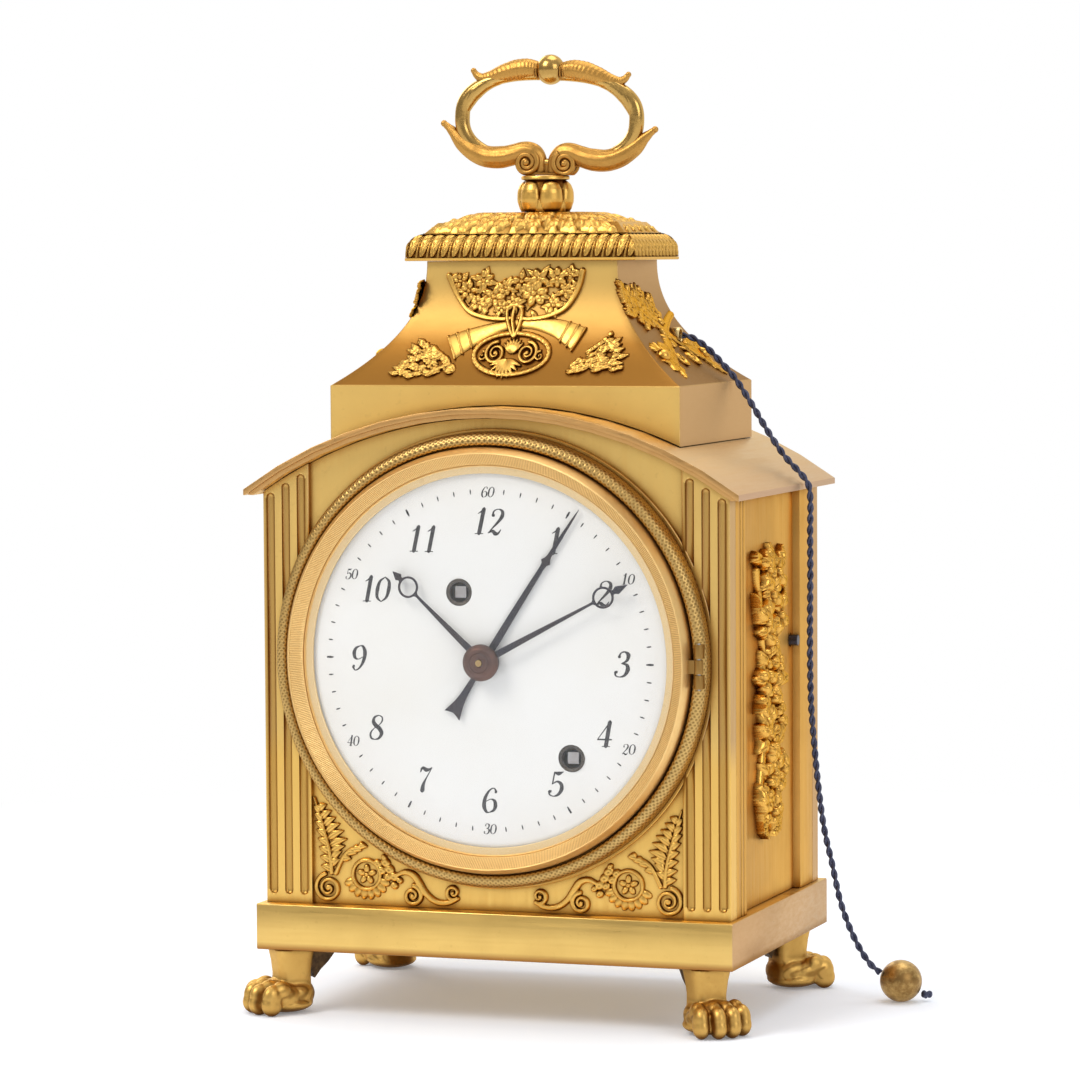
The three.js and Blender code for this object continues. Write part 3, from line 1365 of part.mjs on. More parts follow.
// A relief made of round lobes joined by bars, in the plane of two axes. Lobes are [across, up, radius].
function lobedRelief(lobes, links, barWidth, low, high, axis) {
  const parts = lobes.map(([across, up, radius]) => {
    const outline = new THREE.Shape();
    for (let i = 0; i < lobeSteps; i += 1) {
      const turn = 2 * Math.PI * i / lobeSteps;
      const go = i ? "lineTo" : "moveTo";
      outline[go](across + radius * Math.cos(turn), up + radius * Math.sin(turn));
    }
    outline.closePath();
    return prism(outline, low, high, axis);
  });
  for (const [a, b] of links) {
    const from = new THREE.Vector2(lobes[a][0], lobes[a][1]);
    const to = new THREE.Vector2(lobes[b][0], lobes[b][1]);
    const out = to.clone().sub(from).normalize().rotateAround(new THREE.Vector2(), Math.PI / 2);
    out.multiplyScalar(barWidth / 2);
    const outline = new THREE.Shape();
    outline.moveTo(from.x + out.x, from.y + out.y);
    outline.lineTo(to.x + out.x, to.y + out.y);
    outline.lineTo(to.x - out.x, to.y - out.y);
    outline.lineTo(from.x - out.x, from.y - out.y);
    outline.closePath();
    parts.push(prism(outline, low, high, axis));
  }
  return join(...parts);
}

// The right spandrel mount: a rosette, volutes and a leafy branch beside the pilaster.
function spandrelMount() {
  const lobes = spandrelShares.map(([across, up, radius]) => [
    spandrelEdge - across * spandrelWidth, plinthTop + spandrelFoot + up * spandrelWidth, radius * spandrelWidth,
  ]);
  const face = panelFace - seatGap;
  const relief = lobedRelief(lobes, spandrelLinkShares, spandrelLinkWidth, face - spandrelRelief, face, "y");
  const seat = disc(seatRingRadius + seatGap, face - spandrelRelief - overrun, face + overrun, ringSteps);
  return cut(relief, moved(seat, 0, 0, dialHeight));
}

// A mount of crossed horns and flowers that follows the hood's curve. On the front it is cut along y.
function hoodMount(width, axis) {
  const lobes = hoodMountShares.map(([across, up, radius]) => [
    across * width, blockTop + hoodMountFoot + up * hoodMountWidth, radius * width,
  ]);
  const reach = axis === "y" ? [-blockDepth, -overrun] : [overrun, blockWidth];
  const relief = lobedRelief(lobes, hoodLinkShares, hoodLinkWidth * width / hoodMountWidth, ...reach, axis);
  const outer = tiers(hoodForm(hoodMountRelief, blockTop, hoodTop));
  const inner = tiers(hoodForm(seatGap, blockTop, hoodTop));
  return cut(relief.intersect(outer), inner);
}

// The mount on the right slope of the hood, with a round boss at each end and the hole for the eyelet.
function hoodSideMount() {
  const z = blockTop + hoodMountFoot + hoodMountShares[1][1] * hoodMountWidth;
  const [side] = hoodHalf(z);
  const bosses = [-1, 1].map((end) => {
    const boss = disc(sideBossRadius, side - sideBossRadius, side + sideBossProud, lobeSteps, "x");
    return moved(boss, 0, end * sideBossShare * hoodSideMountWidth, z);
  });
  const inner = tiers(hoodForm(seatGap, blockTop, hoodTop));
  const hole = disc(eyeletRadius + looseGap, 0, blockWidth, rodSteps, "x");
  return cut(join(hoodMount(hoodSideMountWidth, "x"), ...bosses), inner, moved(hole, 0, drumY, eyeletHeight));
}

// The trophy in the recess of the right wall: a flat ground with swelling masses on it.
function sideMount() {
  const right = sideMountShares.map(([wide, up]) => [
    sideMountMiddle + wide * sideMountHeight, plinthTop + sideMountFoot + up * sideMountHeight,
  ]);
  const left = right.map(([y, z]) => [2 * sideMountMiddle - y, z]).reverse();
  const outline = new THREE.Shape();
  [...right, ...left].forEach(([y, z], i) => (i ? outline.lineTo(y, z) : outline.moveTo(y, z)));
  outline.closePath();
  const low = recessFace + seatGap;
  const ground = prism(outline, low, low + sideMountRelief, "x");
  const swells = sideSwellShares.map(([across, up]) => {
    const size = sideMountHeight / sideMountShares.length;
    const mass = egg(sideMountSwell, size, size, pinSteps, pinSteps / 2);
    return moved(mass, low, sideMountMiddle + across * sideMountHeight, plinthTop + sideMountFoot + up * sideMountHeight);
  });
  const wall = block(0, low, -bodyDepth, bodyDepth, 0, roofTop);
  return cut(join(ground, ...swells), wall);
}

// The free cord, as a tube along its route.
function cord() {
  const path = new THREE.CatmullRomCurve3(cordRoute.map((point) => new THREE.Vector3(...point)), false, "centripetal");
  const section = new THREE.Shape();
  for (let i = 0; i < cordSides; i += 1) {
    const turn = 2 * Math.PI * i / cordSides;
    const go = i ? "lineTo" : "moveTo";
    section[go](Math.cos(turn) * cordDiameter / 2, Math.sin(turn) * cordDiameter / 2);
  }
  section.closePath();
  return solid(new THREE.ExtrudeGeometry(section, { steps: cordSteps, bevelEnabled: false, extrudePath: path }));
}

// The case
for (const [name, x, y, bearing] of [
  ["foot_front_right", 1, -1, -45], ["foot_front_left", -1, -1, -135],
  ["foot_rear_right", 1, 1, 45], ["foot_rear_left", -1, 1, 135],
]) {
  const shift = x < 0 ? -footLeftShift : 0;
  const place = [x * (plinthWidth / 2 - footSideInset) + shift, y * (plinthDepth / 2 - footEndInset)];
  add(name, foot(), gilt, ...place, 0, THREE.MathUtils.degToRad(bearing));
}
add("plinth", plinth(), gilt);
add("base_plate", basePlate(), brass);
add("front_panel", frontPanel(), gilt);
add("side_panel_right", cut(sidePanel(), buttonHole()), giltPale);
add("side_panel_left", mirrored(sidePanel()), giltPale);
add("rear_frame", rearFrame(), gilt);
add("back_door", backDoor(), gilt);
add("back_door_pin", hingePin(doorHingeHeight, doorKnuckleLength, doorHingeX, doorHingeY), steel);
add("roof", roof(), gilt);
add("hood", hood(), gilt);
add("cap", cap(), gilt);
add("knop", knop(), gilt, knopOffset, 0, 0);
add("handle", handle(), gilt, knopOffset, 0, 0);

// The front of the dial
add("rope_ring", ropeRing(), gilt);
add("bezel", bezel(), gilt);
add("bezel_hinge_pin", hingePin(dialHeight, knuckleLength, bezelHingeX, bezelHingeY), steel);
add("glass", glass(), glassClear);
add("dial", dial(), enamel);

// The hands point to twelve before they are turned to their hours.
const handMeshes = [
  ["hour_hand", ringedHand(hourLength, hourRingShare, hourHandBack, hourPipe + 2 * seatGap), hourAngle],
  ["minute_hand", ringedHand(minuteLength, minuteRingShare, minuteHandBack, cannonPipe + 2 * seatGap), minuteAngle],
  ["alarm_hand", alarmHand(), alarmAngle],
];
for (const [name, body, angle] of handMeshes) {
  add(name, body, blued, 0, 0, dialHeight).rotation.y = THREE.MathUtils.degToRad(angle);
}

// The movement, each piece at its place from the centre of the dial
const movement = [
  ["hub_collet", hubCollet(), centrePlace, steel],
  ["front_plate", frontPlate(), centrePlace, brass],
  ["back_plate", backPlate(), centrePlace, brass],
  ["going_barrel", barrel(), goingPlace, brass],
  ["going_winding_arbor", windingArbor(Math.hypot(...goingPlace)), goingPlace, steel],
  ["strike_barrel", barrel(), strikePlace, brass],
  ["strike_winding_arbor", windingArbor(Math.hypot(...strikePlace)), strikePlace, steel],
  ["centre_wheel", centreWheel(), centrePlace, brass],
  ["cannon_pinion", cannonPinion(), centrePlace, steel],
  ["minute_wheel", minuteWheel(), minutePlace, brass],
  ["hour_wheel", hourWheel(), centrePlace, brass],
  ["third_wheel", thirdWheel(), thirdPlace, brass],
  ["fourth_wheel", fourthWheel(), fourthPlace, brass],
  ["escape_wheel", escapeWheel(), escapePlace, brass],
  ["balance", balance(), balancePlace, brass],
  ["balance_cock", balanceCock(), balancePlace, brass],
  ["pin_wheel", pinWheel(), pinWheelPlace, brass],
  ["fly", fly(), flyPlace, brass],
  ["hammer", hammer(), hammerPlace, steel],
  ["bell", bell(), bellPlace, bellMetal],
];
for (const [name, body, [x, z], material] of movement) add(name, body, material, x, 0, dialHeight + z);

// The repeat, its cord and the stop button
add("repeat_drum", repeatDrum(), brass, drumX, drumY, drumHeight);
add("drum_bracket", drumBracket(), brass);
add("cord_eyelet", eyelet(), brass);
add("cord", cord(), cordFinish);
add("pull_ball", egg(pullBallRadius, pullBallRadius, pullBallRadius, drumSteps / 2, pinSteps), brass, ...pullBallPlace);
add("cord_knot", egg(knotRadius, knotRadius, knotRadius, pinSteps, pinSteps / 2 + 1), cordFinish, ...knotPlace);
add("stop_button", stopButton(), blued);

// The applied mounts
add("spandrel_mount_right", spandrelMount(), gilt);
add("spandrel_mount_left", mirrored(spandrelMount()), gilt);
add("hood_mount_front", hoodMount(hoodMountWidth, "y"), gilt);
add("hood_mount_right", hoodSideMount(), gilt);
add("hood_mount_left", mirrored(hoodSideMount()), gilt);
add("side_mount_right", sideMount(), gilt);
add("side_mount_left", mirrored(sideMount()), gilt);

// The origin goes under the middle of everything but the free cord and what is on it.
const free = ["cord", "pull_ball", "cord_knot"];
const extent = new THREE.Box3();
for (const mesh of pieces.children) if (!free.includes(mesh.name)) extent.expandByObject(mesh, true);
pieces.position.y = -extent.getCenter(new THREE.Vector3()).y;

export default clock;
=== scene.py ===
import math
import bmesh
import bpy
import numpy as np
from mathutils import Matrix, Vector


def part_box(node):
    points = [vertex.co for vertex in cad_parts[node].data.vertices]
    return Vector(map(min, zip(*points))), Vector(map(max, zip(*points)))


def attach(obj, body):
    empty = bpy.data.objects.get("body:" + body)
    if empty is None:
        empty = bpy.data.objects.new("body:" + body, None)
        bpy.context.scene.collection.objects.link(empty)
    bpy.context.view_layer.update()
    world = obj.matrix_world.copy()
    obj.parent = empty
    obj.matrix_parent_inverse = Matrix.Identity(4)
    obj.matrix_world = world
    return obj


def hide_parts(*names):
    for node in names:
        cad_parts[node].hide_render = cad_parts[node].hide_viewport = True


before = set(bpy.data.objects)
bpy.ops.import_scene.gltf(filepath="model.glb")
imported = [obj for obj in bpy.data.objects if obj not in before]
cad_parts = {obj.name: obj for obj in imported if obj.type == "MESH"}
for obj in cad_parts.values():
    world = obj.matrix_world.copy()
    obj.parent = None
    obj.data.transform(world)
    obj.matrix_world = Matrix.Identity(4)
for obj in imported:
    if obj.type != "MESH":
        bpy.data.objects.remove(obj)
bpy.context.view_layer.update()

# Lengths are millimetres in the model's own axes. MM turns them into metres.
MM = 0.001
# The case's middle lies this far behind the origin, which is under the middle of the whole clock.
CASE_Y = (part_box("plinth")[0].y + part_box("plinth")[1].y) / 2 / MM

# Camera: where the photograph was taken from, its heading in degrees and its lens
CAMERA_PLACE = (343.53, -993.51, 175.03)
CAMERA_YAW, CAMERA_PITCH, CAMERA_ROLL = 19.130, -3.651, -0.3446
CAMERA_LENS, CAMERA_SENSOR = 150.6, 36.0

# Case
PLINTH_TOP = 25.7
FRONT_FACE, PANEL_FACE, PANEL_BACK = -35.85, -34.5, -31.5
SIDE_FACE, RECESS_FACE = 55.9, 54.1
ARCH_Z, ROOF_UNDER, ROOF_TOP_RADIUS = 38.2, 99.6, 101.9
ARCH_GAP, SEAT_GAP = 0.25, 0.05
PILASTER = 11.2
FLUTES, FLUTE_HALF, FLUTE_DEPTH, FLUTE_FOOT, FLUTE_HEAD = 3, 1.0, 0.7, 2.0, 1.7
OPENING_RADIUS, SEAT_RING_RADIUS = 46.5, 52.2
BLOCK_HALF = (42.15, 28.25)
BLOCK_TOP, HOOD_TOP = 144.6, 173.0
NECK_HALF = (23.2, 14.85)
HOOD_POWER, HOOD_WALL = 2.25, 2.4
CAP_HALF = (27.95, 16.75)
CAP_RIM, OVOLO_HEIGHT, OVOLO_INSET, OVOLO_LIP = 0.8, 5.0, 3.6, 0.5
CAP_FILLET, CAP_STEP_HEIGHT, CAP_STEP_INSET = 0.6, 2.4, 2.4
CAP_TOP = HOOD_TOP + CAP_RIM + OVOLO_HEIGHT + CAP_FILLET + CAP_STEP_HEIGHT
CUSHION_HEIGHT = 2.4
KNOP_BASE = CAP_TOP + CUSHION_HEIGHT
KNOP_X = 0.8
KNOP_RADIUS, KNOP_HEIGHT = 6.7, 7.4
KNOP_PLATE_RADIUS, KNOP_PLATE_HEIGHT = 5.6, 1.0
HANDLE_FOOT = KNOP_BASE + KNOP_HEIGHT + KNOP_PLATE_HEIGHT
HANDLE_MIDDLE = HANDLE_FOOT + 13.2
HANDLE_HALF = (21.35, 10.1)
HANDLE_SHIFT, HANDLE_LEAN = 1.2, 2.4
HANDLE_SQUARENESS = 0.8
FOOT_PLACE, FOOT_LEFT_SHIFT = (49.2, 33.0), 1.9

# Dial
DIAL_Z = 83.1
DIAL_RADIUS, DIAL_FRONT, DIAL_RISE, DIAL_THICKNESS = 43.9, -38.6, 2.7, 1.2
DIAL_MIDDLE = DIAL_FRONT - DIAL_RISE
DIAL_BORE = 3.3
ROPE_RADII = (48.45, 51.6)
ROPE_PROUD = 5.0
GLASS_RADIUS, GLASS_SEAT, GLASS_RISE, GLASS_FULLNESS = 43.95, -40.05, 7.0, 2.6
WINDING_HOLES, HOLE_RADIUS = ((-6.3, 15.5), (20.0, -21.4)), 3.1
BEZEL_HINGE = (50.2, -41.2)
KNUCKLE_RADIUS, KNUCKLE_LENGTH, KNUCKLE_GAP = 1.0, 3.1, 0.3

# Cord, in the same points as the solid's
CORD_DIAMETER = 1.8
CORD_ROUTE = [
    (31.3, 8.2, 155.5), (33.2, 8.5, 155.1), (35.3, 9, 153.9), (37.5, 9.6, 152), (40, 10.2, 149.3),
    (43.2, 10.7, 145.6), (47, 10.9, 139.9), (51, 11.1, 133.3), (55, 11.2, 127.6), (58.7, 11.3, 123.7),
    (60.6, 11.3, 121.1), (61.1, 11.4, 117.4), (61, 11.5, 109.5), (61, 11.6, 100), (60.9, 11.6, 90),
    (60.9, 11.6, 80), (61.1, 11.7, 70), (61.8, 12, 60), (62.7, 12.4, 50), (63.8, 13, 41),
    (65.4, 13.8, 33), (67.2, 14.6, 24), (69.2, 15.6, 17.6), (71.4, 16.6, 12.6), (73.6, 17.6, 9),
    (75.7, 18.7, 6.9),
]
CORD_LAY, CORD_SIDES = 5.2, 10
BALL_PLACE, BALL_RADIUS = (80.15, 20.7, 4.9), 4.9
KNOT_PLACE = (85.58, 23.12, 1.6)


# ---- Small helpers ----

def angles(steps):
    """Even angles once round, in radians."""
    return np.linspace(0, 2 * math.pi, steps, endpoint=False)


def polar(centre, radii, a):
    """The point at angle a of an ellipse, or of a circle where radii is one number."""
    across, up = radii if isinstance(radii, tuple) else (radii, radii)
    return centre[0] + across * np.cos(a), centre[1] + up * np.sin(a)


def unit(vectors):
    return vectors / np.maximum(np.linalg.norm(vectors, axis=-1, keepdims=True), 1e-6)


def link(piece):
    bpy.context.scene.collection.objects.link(piece)
    return piece


def evaluated(piece):
    """The mesh of a piece with its modifiers applied."""
    return bpy.data.meshes.new_from_object(piece.evaluated_get(bpy.context.evaluated_depsgraph_get()))


def points_of(mesh):
    return np.array([v.co for v in mesh.vertices])


# ---- Camera ----

def make_camera():
    data = bpy.data.cameras.new("camera")
    camera = link(bpy.data.objects.new("camera", data))
    data.lens, data.sensor_width, data.sensor_fit = CAMERA_LENS, CAMERA_SENSOR, "AUTO"
    data.clip_start, data.clip_end = 0.01, 20.0
    yaw, pitch, roll = (math.radians(a) for a in (CAMERA_YAW, CAMERA_PITCH, CAMERA_ROLL))
    ahead = Vector((-math.sin(yaw) * math.cos(pitch), math.cos(yaw) * math.cos(pitch), math.sin(pitch)))
    right = ahead.cross(Vector((0, 0, 1))).normalized()
    up = right.cross(ahead)
    side = right * math.cos(roll) + up * math.sin(roll)
    top = up * math.cos(roll) - right * math.sin(roll)
    turn = Matrix((side, top, -ahead)).transposed().to_4x4()
    x, y, z = CAMERA_PLACE
    camera.matrix_world = Matrix.Translation(Vector((x, y + CASE_Y, z)) * MM) @ turn
    bpy.context.scene.camera = camera


make_camera()


# ---- Materials ----

def nodes_of(name, metallic, roughness, colour):
    material = bpy.data.materials.new(name)
    material.use_nodes = True
    tree = material.node_tree
    shader = tree.nodes["Principled BSDF"]
    shader.inputs["Metallic"].default_value = metallic
    shader.inputs["Roughness"].default_value = roughness
    shader.inputs["Base Color"].default_value = (*colour, 1)
    return material, tree, shader


def add(tree, kind, inputs=(), **settings):
    """A shader node with its settings. Each input is a number, a tuple or another node's socket."""
    node = tree.nodes.new("ShaderNode" + kind)
    for name, value in settings.items():
        setattr(node, name, value)
    for key, value in dict(inputs).items():
        if isinstance(value, bpy.types.NodeSocket):
            tree.links.new(value, node.inputs[key])
        else:
            node.inputs[key].default_value = value
    return node


def noise(tree, scale, detail=4.0, stretch=(1, 1, 1), roughness=0.55):
    mapping = add(tree, "Mapping", {"Vector": add(tree, "TexCoord").outputs["Object"], "Scale": stretch})
    return add(tree, "TexNoise", {
        "Vector": mapping.outputs["Vector"], "Scale": scale, "Detail": detail, "Roughness": roughness,
    }).outputs["Fac"]


def ramp(tree, value, *stops):
    """Maps value from the range of the first two stops to that of the last two."""
    names = ("From Min", "From Max", "To Min", "To Max")
    return add(tree, "MapRange", {"Value": value, **dict(zip(names, stops))}).outputs["Result"]


def blend_colours(tree, amount, a, b):
    a, b = ((*colour, 1) if isinstance(colour, tuple) else colour for colour in (a, b))
    return add(tree, "Mix", {0: amount, 6: a, 7: b}, data_type="RGBA").outputs[2]


def maths(tree, operation, a, b=0):
    return add(tree, "Math", {0: a, 1: b}, operation=operation, use_clamp=True).outputs[0]


def component(tree, node, output, axis):
    return add(tree, "SeparateXYZ", {0: add(tree, node).outputs[output]}).outputs[axis]


def bump(tree, shader, *layers):
    """Each layer is (height, strength, distance in millimetres)."""
    below = {}
    for height, strength, distance in layers:
        node = add(tree, "Bump", {"Height": height, "Strength": strength, "Distance": distance * MM, **below})
        below = {"Normal": node.outputs["Normal"]}
    tree.links.new(below["Normal"], shader.inputs["Normal"])


def crevices(tree, reach):
    """How far a point lies in a corner or a crevice, from 0 to 1, with reach in millimetres."""
    node = add(tree, "AmbientOcclusion", {"Distance": reach * MM}, samples=8)
    return ramp(tree, node.outputs["AO"], 0.35, 0.92, 1.0, 0.0)


def gilt(name, bright, deep, roughness, grain=(1, 1, 1), carved=False, worn=0.25, sides=None, reach=1.8, patina_and_crevice_shade=0.8,
         height_band=None, edges=None, streaked=0.25, rim=(0.96, 0.88, 0.72)):
    """Mercury gilding: a bright film that thins to a warmer, duller tone in patches; the hollows and crevices take
    painted shade, which also stands for dark patina there.

    grain stretches the brush marks, sides and edges are painted shade on faces that look along x and along y,
    height_band is a band of another tone between heights, and rim tints what the metal mirrors at a glance.
    """
    material, tree, shader = nodes_of(name, 1.0, roughness, bright)
    shader.inputs["Specular Tint"].default_value = (*rim, 1)
    patches = ramp(tree, noise(tree, 55, 5), 0.42, 0.72, 0.0, worn)
    specks = ramp(tree, noise(tree, 700, 3), 0.62, 0.74, 0.0, 0.35)
    wear = maths(tree, "ADD", patches, maths(tree, "MULTIPLY", specks, 0.6))
    colour = blend_colours(tree, wear, bright, tuple(0.55 * b + 0.45 * d for b, d in zip(bright, deep)))
    # painted shade: faces that look along x take the sides tone, and faces that look along y the edges tone
    for tone, axis, low, high in ((sides, "X", 0.15, 0.8), (edges, "Y", 0.6, 0.9)):
        if tone:
            facing = maths(tree, "ABSOLUTE", component(tree, "NewGeometry", "Normal", axis))
            colour = blend_colours(tree, ramp(tree, facing, low, high, 0.0, 1.0), colour, tone)
    # a band of another tone between heights; on the plinth and on the hood it is painted shade
    if height_band:
        low, full, fading, high, tone = height_band
        height = component(tree, "TexCoord", "Object", "Z")
        band = maths(
            tree, "MULTIPLY", ramp(tree, height, low * MM, full * MM, 0.0, 1.0),
            ramp(tree, height, fading * MM, high * MM, 1.0, 0.0),
        )
        colour = blend_colours(tree, band, colour, tone)
    # painted shade in the hollows that a carved piece's hollow attribute marks
    if carved:
        colour = blend_colours(tree, add(tree, "Attribute", attribute_name="hollow").outputs["Fac"], colour, deep)
    # painted shade: corners, crevices and gaps between parts take the deep tone as far as ambient occlusion finds them
    # shut in; it also stands for dark patina there
    colour = blend_colours(tree, maths(tree, "MULTIPLY", crevices(tree, reach), patina_and_crevice_shade), colour, deep)
    tree.links.new(colour, shader.inputs["Base Color"])
    streaks = noise(tree, 900, 3, grain, 0.7)
    dull = ramp(tree, streaks, 0.3, 0.7, roughness - 0.28 * streaked, roughness + 0.48 * streaked)
    tree.links.new(dull, shader.inputs["Roughness"])
    bump(tree, shader, (streaks, streaked, 0.06), (noise(tree, 2600, 2), 0.2, 0.03))
    return material


BRIGHT, DEEP, UMBER = (0.80, 0.53, 0.16), (0.33, 0.14, 0.022), (0.17, 0.062, 0.009)
UPRIGHT = (1, 1, 0.05)
# painted shade: faces that look along x take the darker sides tone, and a darker band runs round the plinth's lowest
# two millimetres
GILT_LEVEL = gilt(
    "gilt_brushed_across", BRIGHT, DEEP, 0.34, grain=(0.04, 0.3, 1), sides=(0.62, 0.38, 0.19), worn=0.35,
    height_band=(14.9, 14.95, 15.5, 16.8, (0.40, 0.19, 0.05)),
)
# painted shade: faces that look along x take the darker sides tone
GILT_UPRIGHT = gilt("gilt_brushed_upright", BRIGHT, DEEP, 0.36, grain=UPRIGHT, sides=(0.58, 0.35, 0.16))
# painted shade in the flutes and on faces that look along x; the height band is a more saturated tone over the lower
# front wall
GILT_FRONT = gilt(
    "gilt_front_wall", (0.86, 0.57, 0.18), (0.30, 0.13, 0.02), 0.36, grain=UPRIGHT, carved=True,
    sides=(0.62, 0.39, 0.17), reach=2.6, patina_and_crevice_shade=0.9, height_band=(14, 21, 59, 66, (0.89, 0.56, 0.15)),
)
# painted shade: the side walls' gilt is a darker copy of the bright gilt, besides its heavier wear
GILT_SIDE = gilt(
    "gilt_worn_and_shaded_side", (0.74, 0.42, 0.11), (0.27, 0.11, 0.02), 0.38, grain=UPRIGHT, worn=0.4, reach=3.0,
    rim=(0.94, 0.8, 0.56),
)
# painted shade: faces that look along x and along y take the darker sides and edges tones
GILT_ROOF = gilt(
    "gilt_roof", (0.76, 0.54, 0.24), DEEP, 0.40, grain=(0.3, 0.05, 1), sides=(0.62, 0.41, 0.27), worn=0.2,
    edges=(0.58, 0.33, 0.12),
)
# painted shade: the hood's curve is darkest low down and fades out towards the neck, and faces that look along x are
# darker
GILT_HOOD = gilt(
    "gilt_hood", (0.89, 0.59, 0.18), (0.27, 0.10, 0.015), 0.45, grain=(0.2, 0.2, 1), reach=3.0,
    height_band=(144.5, 144.9, 154, 172, (0.30, 0.137, 0.026)), streaked=0.04, sides=(0.62, 0.38, 0.17),
)
GILT_CARVED = gilt("gilt_carved", (0.80, 0.47, 0.11), UMBER, 0.33, carved=True, patina_and_crevice_shade=0.95)
GILT_RELIEF = gilt(
    "gilt_side_relief", (0.80, 0.43, 0.085), (0.17, 0.058, 0.007), 0.25, carved=True, patina_and_crevice_shade=0.95,
    rim=(0.9, 0.66, 0.34),
)
GILT_LEAFY = gilt("gilt_handle_leaves", (0.58, 0.31, 0.075), UMBER, 0.4, carved=True, worn=0.5)
GILT_PAW = gilt("gilt_paw", (0.68, 0.41, 0.11), UMBER, 0.4, carved=True, worn=0.4, reach=2.4, patina_and_crevice_shade=0.95)
# painted light: the sight ring under the glass is a much paler copy of the gilt
GILT_SIGHT = gilt("gilt_sight_ring", (0.98, 0.76, 0.42), DEEP, 0.45, carved=True, worn=0.1, patina_and_crevice_shade=0.15)
GILT_SHADED = gilt("gilt_shaded", (0.34, 0.19, 0.055), UMBER, 0.4, worn=0.5)
GILT_MATT = gilt("gilt_milled", (0.93, 0.63, 0.26), DEEP, 0.42, carved=True, worn=0.15, patina_and_crevice_shade=0.25)
GILT_DARK = gilt("gilt_polished_dark", (0.62, 0.38, 0.11), (0.16, 0.07, 0.02), 0.2, worn=0.55)
GILT_ROPE = gilt("gilt_knurled", (0.66, 0.43, 0.15), (0.13, 0.055, 0.01), 0.38, carved=True, worn=0.3, patina_and_crevice_shade=0.3)
BRASS = gilt("brass_worked", (0.83, 0.62, 0.28), (0.35, 0.2, 0.06), 0.33, grain=(0.05, 1, 1))
BELL = gilt("bell_metal", (0.78, 0.62, 0.36), (0.3, 0.2, 0.08), 0.28, grain=(1, 0.1, 1))


def clouded(name, metallic, roughness, tones, clouds, grain, edges=(0.35, 0.7), **sockets):
    """A material that drifts between two tones. grain is a bump's noise, strength and distance."""
    material, tree, shader = nodes_of(name, metallic, roughness, tones[0])
    for socket, value in sockets.items():
        shader.inputs[socket.replace("_", " ")].default_value = value
    amount = ramp(tree, noise(tree, *clouds), *edges, 0.0, 1.0)
    tree.links.new(blend_colours(tree, amount, *tones), shader.inputs["Base Color"])
    bump(tree, shader, (noise(tree, *grain[0]), *grain[1:]))
    return material


STEEL_GRAIN = ((2500, 2, (1, 1, 0.1)), 0.15, 0.03)
STEEL = clouded("steel_polished", 1.0, 0.3, ((0.5, 0.5, 0.52), (0.4, 0.37, 0.35)), (160, 4), STEEL_GRAIN)
BLUED = clouded("steel_blued", 1.0, 0.3, ((0.045, 0.045, 0.06), (0.075, 0.06, 0.06)), (160, 4), STEEL_GRAIN)
RUSSET = clouded("steel_russet", 1.0, 0.45, ((0.10, 0.055, 0.045), (0.17, 0.08, 0.055)), (160, 4), STEEL_GRAIN)
ENAMEL = clouded(
    "enamel", 0.0, 0.12, ((0.80, 0.79, 0.76), (0.77, 0.75, 0.70)), (25, 3), ((120, 2), 0.06, 0.05), (0.4, 0.7),
    Coat_Weight=0.4, Coat_Roughness=0.05,
)
FINE_GRAIN = ((3000, 2), 0.2, 0.02)
INK = clouded("dial_black", 0.0, 0.3, ((0.012, 0.012, 0.014), (0.05, 0.045, 0.045)), (900, 3), FINE_GRAIN)
CORD = clouded("cord_silk", 0.0, 0.7, ((0.022, 0.025, 0.06), (0.085, 0.09, 0.15)), (900, 3), FINE_GRAIN)
# A dark brown bronze for the brackets behind the legs.
DARK_BRONZE = clouded("bronze_dark_brown", 0.8, 0.55, ((0.07, 0.042, 0.022), (0.15, 0.09, 0.04)), (900, 3), FINE_GRAIN)
COLLET = clouded("winding_collet", 0.6, 0.5, ((0.045, 0.04, 0.035), (0.10, 0.08, 0.06)), (900, 3), FINE_GRAIN)
AGED = clouded(
    "aged_brass", 1.0, 0.4, ((0.30, 0.17, 0.055), (0.66, 0.44, 0.16)), (260, 5, (1, 1, 1), 0.7),
    ((500, 4), 0.35, 0.15), (0.42, 0.66),
)


def clear():
    material, tree, shader = nodes_of("clear_glass", 0.0, 0.12, (1, 1, 1))
    shader.inputs["Alpha"].default_value = 0.06
    smear = ramp(tree, noise(tree, 30, 3), 0.4, 0.7, 0.11, 0.15)
    tree.links.new(smear, shader.inputs["Roughness"])
    return material


CLEAR = clear()


# ---- Meshes ----

def face_out(mesh, weld=None):
    """Turns the faces outwards, after points closer than weld millimetres are joined."""
    work = bmesh.new()
    work.from_mesh(mesh)
    if weld:
        bmesh.ops.remove_doubles(work, verts=work.verts, dist=weld * MM)
    bmesh.ops.recalc_face_normals(work, faces=work.faces)
    work.to_mesh(mesh)
    work.free()


def dress(mesh, material, angle=30):
    """One material, and smooth shading that breaks at edges sharper than an angle in degrees."""
    mesh.materials.clear()
    mesh.materials.append(material)
    mesh.shade_smooth()
    mesh.set_sharp_from_angle(angle=math.radians(angle))


def mesh_object(name, points, faces, material, replaces=None, body="case", hollow=None, angle=40, slot=None):
    """points in millimetres from the case's middle, faces as lists of indices."""
    points = np.asarray(points, float) + (0, CASE_Y, 0)
    mesh = bpy.data.meshes.new(name)
    mesh.from_pydata((points * MM).tolist(), [], [list(map(int, f)) for f in faces])
    mesh.validate()
    if hollow is not None:
        values = mesh.attributes.new("hollow", "FLOAT", "POINT")
        values.data.foreach_set("value", np.clip(np.asarray(hollow, np.float32).ravel(), 0, 1))
    piece = link(bpy.data.objects.new(name, mesh))
    face_out(mesh)
    dress(mesh, material, angle)
    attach(piece, body)
    if replaces:
        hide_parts(replaces)
    return piece


